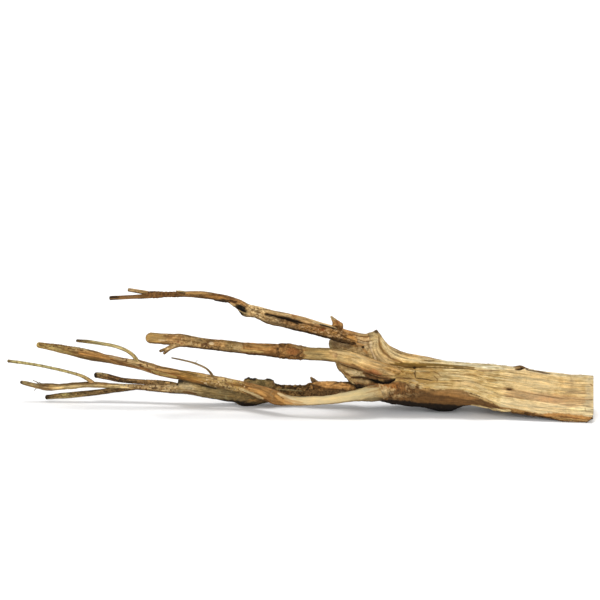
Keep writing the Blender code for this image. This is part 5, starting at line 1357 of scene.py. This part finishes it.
# back limb and the lower limb that it goes on in: torn dark bark, then smooth olive bark and a wavy golden tip
backRun = {
    "tones": ((10, (0.29, 0.23, 0.12)), (24, (0.34, 0.27, 0.14)), (32, (0.5, 0.38, 0.19)), (48, "dullTan"),
              (62, (0.58, 0.4, 0.17)), (90, (0.66, 0.46, 0.2)), (118, (0.62, 0.44, 0.2)),
              (140, (0.46, 0.32, 0.16)), (160, (0.5, 0.36, 0.19)), (176, (0.7, 0.52, 0.28)),
              (190, (0.62, 0.46, 0.24)), (204, (0.4, 0.29, 0.135)), (228, (0.32, 0.23, 0.105)),
              (246, (0.26, 0.18, 0.08)), (256, (0.23, 0.165, 0.07)), (272, (0.24, 0.165, 0.075)),
              (276, (0.2, 0.12, 0.048)), (306, (0.19, 0.11, 0.042)), (312, "russet"), (350, (0.3, 0.17, 0.065)),
              (362, (0.16, 0.09, 0.036))),
    "swellings": ((-33, 13, 26, 10, 2.4), (-258, 37, 15, 7, 0.7)),
    "sleeves": ((-54, -22, 2.4), (14.5, 62, 3.4)),
    "spur": [(22, 19.5, 23.5, 3.2), (19, 19, 27, 2.4), (16.5, 18.5, 30.6, 0.9)],
    "hairs": ([(-266, 40, 17, 0.55), (-271, 38, 21.5, 0.5), (-274, 37, 23, 0.3)],
              [(-269, 40, 16, 0.4), (-273, 37, 12, 0.3)], [(-263, 40, 17, 0.5), (-268, 39, 20.6, 0.35)]),
}


def paintBackRun(s, look):
    # the marks of both parts, and the sleeves of bark that stand proud of the back limb
    s.bands(look["tones"], 3)
    x = s.points[..., 0] + 1.3 * s.ragged
    turn = s.shape["angle"]
    sleeve = np.zeros_like(x)
    for low, high, proud in look["sleeves"]:
        # the lower sleeve's edge is soft below, the upper one's behind
        edge = 0.5 + 9 * ramp(0.6, 0.0, s.up) * (low < 0) + 7 * ramp(0.1, 0.6, s.rear) * (low > 0)
        inside = ramp(low - edge, low + 0.5, x) * ramp(high + edge, high - 0.5, x)
        sleeve = np.maximum(sleeve, inside)
        s.relief += inside * proud * (0.75 + 0.5 * np.sin(3 * turn + 1.0))
    dark = np.maximum(s.span(262, 375, 6), s.span(240, 375, 3) * ramp(0.0, 0.5, s.up))
    s.mottle(1 - s.span(182, 246, 6) * 0.65, (4.5, 4, 2.8), 0.6, 115)
    s.streaks(1 - dark, 18, 1.6, 0.5, 116)
    s.lay(dark, bark=0.95)
    # where the two limbs grow together the lower one stands up in a step, with painted shade in the gap before
    # it and on its top, which lies in the long limb's shadow
    step = ramp(177.9, 179.4, s.px + 0.4 * s.ragged) * ramp(224, 192, s.px) * ramp(0.1, 0.7, s.up)
    s.relief += step * 5.2
    s.spot((187, 387.4, 7, 2.4, 8), 0.7, (0.86, 0.68, 0.42))
    high = ramp(0.45, 0.85, s.up)
    s.lay(high * s.span(176.5, 212, 3, 3), (0.2, 0.14, 0.07), bark=0.6)
    s.lay(high * s.span(176.5, 185, 1.5, 2.5), (0.05, 0.034, 0.018), bark=0.2)
    s.lay(s.line([(182, 380.6), (190, 383.2), (203, 386.8), (216, 389.2)], 1.1, allRound=True)
          * ramp(0.35, 0.05, s.rear) * 0.85, (0.03, 0.02, 0.011), bark=0.2)
    knots = cellEdge(s.points / np.array([8.0, 3.8, 3.8]) + 0.3 * s.ragged[..., None], 121)
    fewer = 1 - s.span(200, 275, 2) * (1 - 0.4 * ramp(0.2, 0.7, s.up))
    s.lay(dark * ramp(0.2, 0.03, knots) * fewer, (0.05, 0.028, 0.012), relief=-0.7)
    s.shade(s.span(275, 309, 1), (0.78, 0.76, 0.73))
    s.shade(s.span(274, 312, 1) * ramp(0.3, 0.8, s.up), (0.62, 0.62, 0.58))
    s.lay(s.span(275, 310, 1) * ramp(0.15, 0.55, s.cloud(3, 122)) * 0.8, (0.3, 0.19, 0.08), relief=0.4)
    s.stroke([(276, 388.4), (288, 389.6), (302, 391)], 1, 0.8, (0.34, 0.28, 0.15), bark=0.6)
    # grey-green lump with black crusts on top, bare orange wood on the second sleeve
    s.spot((260, 384.6, 10, 5), 1, (0.27, 0.2, 0.09), bark=0.5)
    crust = ramp(-0.1, 0.35, s.up) * ramp(0.42, 0.12, s.rear + 0.5 * s.ragged)
    ends = 0.35 + 2.8 * ramp(-0.02, 0.25, s.rear)
    above = 1 - s.below([(240, 382.4), (280, 383.4)], 0.5, 0.3)
    for low, high, rise in ((244.2, 256.4, 1.5), (266, 274.4, 1.3)):
        s.lay(s.span(low, high, 0.5, ends) * crust * above, (0.022, 0.015, 0.009), bark=0.3, relief=rise)
    s.lay(s.span(257.5, 265, 1, 0.5) * crust, (0.17, 0.13, 0.055), relief=-0.5)
    s.relief += 1.6 * s.span(244, 250.6, 0.4, 0.2) * crust
    s.stroke([(311, 383.5), (322, 384.8), (335, 386), (349, 387.5)], 3.2, 1, (0.8, 0.45, 0.17), bark=0.2)
    s.mottle(s.span(309, 350, 2), (6, 4, 2), 0.6, 95)
    s.stroke([(316, 382), (330, 383.2), (347, 384.2)], 1.2, 1, (0.92, 0.66, 0.32), bark=0)
    s.crack([(330, 387), (338, 385), (341, 382.6)], 0.7, 0.3, "redBrown", 0.7)
    s.stroke([(311, 380.2), (316, 381), (324, 381)], 0.9, 1, (0.3, 0.19, 0.09), bark=0.8)
    s.lay(s.below([(305, 389.4), (350, 390.4)], 1) * s.span(306, 356, 3), "brown", bark=1)
    s.spot((347, 393, 8, 2), 0.7, (0.32, 0.24, 0.13), bark=0.8)
    s.spot((350, 384.6, 13, 2.2, 8), 0.9, (0.06, 0.035, 0.017), bark=1)
    s.crack([(312, 386.5), (326, 388.8), (346, 390)], 0.9, 0.5, "deepBrown", 0.8)
    # smooth olive bark of the lower limb, near black where it meets the ground: dark bark with painted shade
    s.lay(s.span(176, 245, 4), bark=0.12)
    s.lay(s.below([(180, 397), (215, 398.4), (232, 400.4), (250, 401.2), (262, 401)], 1.2) * s.span(205, 275,
        6), (0.03, 0.02, 0.012), bark=0.4)
    s.spot((250, 395.4, 15, 4.4, 8, 0.6), 0.8, (0.24, 0.165, 0.07), bark=0.2)
    # a painted orange glint along the lower edge
    s.stroke([(248, 399.4), (256, 399.8), (262, 399.4)], 0.8, 0.8, (0.5, 0.28, 0.1))
    s.specks(s.span(176, 240, 4), 3, 0.4, (0.46, 0.36, 0.18), 123)
    s.specks(s.span(120, 176, 4), 1.6, 0.62, (0.16, 0.09, 0.045), 124, relief=-0.15)
    s.specks(s.span(120, 178, 4), 1.8, 0.5, (0.76, 0.6, 0.37), 125)
    s.stroke([(183, 391.4), (190, 392.4), (197, 393.8)], 1.1, 1, (0.24, 0.12, 0.05), bark=0.4)
    s.spot((155, 388.2, 4, 1.5), 1, "greyBrown", bark=0.5)
    s.stroke([(135, 389), (150, 390.4), (168, 392.8), (182, 393.6)], 1, 0.7, (0.14, 0.085, 0.04))
    s.shade(s.span(56, 126, 6), (1.24, 1.4, 1.62))
    s.shade(s.span(40, 56, 3), (0.9, 0.98, 1.2))
    s.shade(s.span(176, 236, 6), (0.86, 0.9, 0.94))
    golden = s.span(40, 128, 5)
    streak = s.alongGrain(30.0, 1.3, 126, 3)
    s.lay(golden * ramp(0.1, 0.7, -streak) * 0.6, "umber")
    s.stroke([(44, 385), (60, 383.8), (78, 383), (96, 383), (118, 384)], 1.6, 0.85, (0.22, 0.12, 0.042))
    s.stroke([(54, 387.4), (70, 386.8), (86, 385.8), (104, 386)], 1.2, 0.9, (0.96, 0.74, 0.4))
    s.stroke([(82, 386.8), (100, 386.6), (120, 387)], 0.9, 0.7, (0.22, 0.14, 0.06))
    s.stroke([(28, 386), (40, 387.6), (50, 389)], 1, 0.7, (0.22, 0.13, 0.055), bark=0.3)
    s.spot((52, 386.4, 3.4, 1.8), 0.7, (0.66, 0.46, 0.2))
    s.spot((20, 381.5, 2.2, 2.5), 1, (0.13, 0.09, 0.05))
    s.fibres(1.3, 30, 0.16, 127)
    s.fibres(3.4, 45, 0.3, 128)
    s.lumpy(2.6, 0.5, 129, s.bark * dark)
    s.lumpy(8, 0.35, 130)


def buildBackRun(look):
    # one tube parted at backEnd, where both parts keep the same ring, with the spur and the hairs
    settings = {"around": 96, "step": 0.5, "uneven": 0.06, "seed": 31, "lumps": look["swellings"]}
    run = backRoute + lowerRoute
    near = tubeOf(run, low=backEnd, high=999, **settings)
    far = tubeOf(run, low=-999, high=backEnd - 0.02, **settings)
    for name, shape, finish, node in (("backLimbBark", near, barkFinish, "back_limb"),
                                      ("lowerLimbWood", far, brownFinish, "lower_limb")):
        fillet(shape, (frontRoute[7:] + longRoute[:6],), 3.0)
        s = Surface(shape, "olive", 25)
        paintBackRun(s, look)
        # painted shade on the undersides, less under the golden tip
        shells = [s.shell(underShade=undersideShadeShare * (1 - 0.75 * s.span(30, 126, 5)))]
        if node == "back_limb":
            s = Surface(tubeOf(look["spur"], around=40, step=0.4, uneven=0.1, seed=32, shift=700),
                (0.16, 0.1, 0.05), 26, 0.9)
            s.lay(ramp(379, 377, s.row), (0.3, 0.22, 0.12))
            s.fibres(1.2, 9, 0.4, 131, ridged=True)
            shells.append(s.shell())
        else:
            for number, route in enumerate(look["hairs"]):
                shells.append(Surface(tubeOf(route, around=8, step=0.5, shift=720 + 20 * number),
                    (0.2, 0.13, 0.06), 27).shell())
        makeMesh(name, shells, finish, node)


buildBackRun(backRun)

# the three thin pieces on the lower limb
twigs = {
    "thin_twig": {
        "name": "thinTwigSkin", "around": 30, "seed": 41, "uneven": 0.05,
        "route": [(-211, 38, 19, 2.3), (-216, 38, 23.5, 2), (-222, 38, 27, 1.75), (-235, 39, 31, 1.6),
                  (-256, 41, 35.6, 1.55), (-277, 43, 39.2, 1.5), (-299.8, 45, 41.8, 1.6)],
        "tones": ((5, (0.1, 0.07, 0.04)), (9, (0.28, 0.21, 0.11)), (14, (0.44, 0.37, 0.18)),
                  (60, (0.42, 0.35, 0.17)), (80, (0.36, 0.27, 0.13)), (94, (0.4, 0.27, 0.12))),
    },
    "dark_stub": {
        "name": "darkStubBark", "around": 56, "seed": 42, "uneven": 0.05,
        "route": [(-118, 31, 18, 2.4), (-130, 34, 20, 2.6), (-152, 38, 20.8, 2.6), (-183, 42, 22.3, 2.8),
                  (-199, 44, 25.4, 3.2), (-208, 45, 26.7, 2.9)],
        "tones": ((93, (0.025, 0.02, 0.012)), (96, (0.05, 0.035, 0.018)), (99, (0.2, 0.14, 0.066)),
                  (112, "brown"),
                  (150, (0.22, 0.15, 0.075)), (178, (0.34, 0.25, 0.13))),
    },
    "low_prong": {
        "name": "lowProngBark", "around": 56, "seed": 43, "uneven": 0.07,
        "route": [(-166, 34.5, 15.8, 2), (-179, 35, 14.2, 2.5), (-193, 36, 12.2, 2.7), (-214, 37, 9.4, 3.1),
                  (-235, 37, 7.2, 3.1), (-259.5, 37, 4.9, 2.3)],
        "tones": ((46, (0.025, 0.018, 0.01)), (49.5, (0.05, 0.035, 0.018)), (54, (0.19, 0.13, 0.06)),
                  (65, (0.24, 0.18, 0.08)), (95, (0.18, 0.125, 0.06)), (125, (0.14, 0.09, 0.04))),
    },
}


def buildTwig(node, look):
    # a tube with joints and smooth skin for the thin twig, or with mottled bark for the other two
    s = Surface(tubeOf(look["route"], around=look["around"], step=0.45, uneven=look["uneven"],
        seed=look["seed"]), "tan", look["seed"])
    s.bands(look["tones"], 1.5)
    if node == "thin_twig":
        joints = 0.5 + 0.5 * np.cos(s.px * 2 * math.pi / 8.5)
        s.lay(ramp(0.86, 1, joints) * 0.6, (0.22, 0.15, 0.07), relief=0.18)
        s.mottle(s.whole, (2.6, 2, 1.4), 0.6, 140)
        s.spot((92, 380.8, 3, 2), 1, (0.5, 0.33, 0.17), relief=0.4)
        s.shade(1 - s.blob(92, 380.6, 4, 3), (1.1, 1.2, 1.25))
        s.fibres(0.8, 12, 0.08, 141)
    else:
        s.lay(s.whole, bark=0.9)
        s.mottle(s.whole, (6, 3, 2), 0.7, look["seed"] + 4, (0.45, 0.38, 0.32), (1.7, 1.6, 1.5))
        s.streaks(s.whole, 16, 1.2, 0.6, look["seed"] + 5)
        s.stroke([(48, 399), (60, 398.4), (78, 397)], 1, 0.8, (0.56, 0.46, 0.25))
        s.spot((65, 394.6, 4, 1.8), 0.8, (0.42, 0.36, 0.16))
        s.stroke([(97, 373.6), (101, 373.4), (107, 375)], 1.2, 0.8, (0.4, 0.31, 0.16))
        s.stroke([(108, 377.6), (118, 380.6), (132, 382)], 1.2, 0.8, (0.035, 0.024, 0.012))
        s.specks(s.whole, 1.8, 0.34, (0.06, 0.04, 0.02), look["seed"] + 2, relief=-0.25)
        s.fibres(1.2, 14, 0.3, look["seed"] + 3)
    finish = twigFinish if node == "thin_twig" else barkFinish
    makeMesh(look["name"], [s.shell()], finish, node)


for node, look in twigs.items():
    buildTwig(node, look)

# floor, light and camera
studio = {
    "floorSize": 40.0, "floorTone": 0.9, "sky": 0.62,
    # each lamp's strength, its spread, and its turns about x and y in degrees
    "lamps": (("overhead", 1.72, 25.0, (-12.0, -2.0)), ("front", 2.1, 40.0, (70.0, 8.0))),
}


def buildStudio(look):
    # a pale floor, an even sky, two broad suns, and the camera that the front drawing belongs to
    half = look["floorSize"] / 2
    mesh = bpy.data.meshes.new("floor")
    mesh.from_pydata([(-half, -half, 0), (half, -half, 0), (half, half, 0), (-half, half, 0)], [],
        [(0, 1, 2, 3)])
    floor = bpy.data.objects.new("floor", mesh)
    bpy.context.scene.collection.objects.link(floor)
    f = Finish("pale_floor")
    place = f.add("ShaderNodeTexCoord", {}, {}, 3)
    paper = f.noise(place, (3.0, 3.0, 3.0), 3.0) - 0.5
    f.put(f.shader.inputs["Base Color"], f.scale(f.add("ShaderNodeRGB", {}, {}), 1 + paper * 0.01))
    f.tree.nodes["RGB"].outputs[0].default_value = (look["floorTone"],) * 3 + (1,)
    f.shader.inputs["Roughness"].default_value = 0.9
    f.shader.inputs["Specular IOR Level"].default_value = 0.0
    mesh.materials.append(f.material)
    world = bpy.data.worlds.new("studio")
    world.use_nodes = True
    sky = world.node_tree.nodes["Background"]
    sky.inputs["Color"].default_value = (1, 1, 1, 1)
    sky.inputs["Strength"].default_value = look["sky"]
    bpy.context.scene.world = world
    for name, strength, spread, turn in look["lamps"]:
        data = bpy.data.lights.new(name, "SUN")
        data.energy, data.angle = strength, math.radians(spread)
        lamp = bpy.data.objects.new(name, data)
        lamp.rotation_euler = [math.radians(a) for a in (*turn, 0)]
        bpy.context.scene.collection.objects.link(lamp)
    data = bpy.data.cameras.new("front")
    data.lens, data.sensor_width = 36 * viewDistance / (drawingSize * drawingUnit), 36.0
    data.clip_end = 100.0
    camera = bpy.data.objects.new("front", data)
    camera.location = Vector((viewAim - woodMiddle - viewForward * viewDistance) * mm)
    camera.rotation_euler = (math.pi / 2 - viewTilt, 0, 0)
    bpy.context.scene.collection.objects.link(camera)
    bpy.context.scene.camera = camera
    bpy.context.scene.view_settings.view_transform = "Standard"


buildStudio(studio)
print("studio is set")
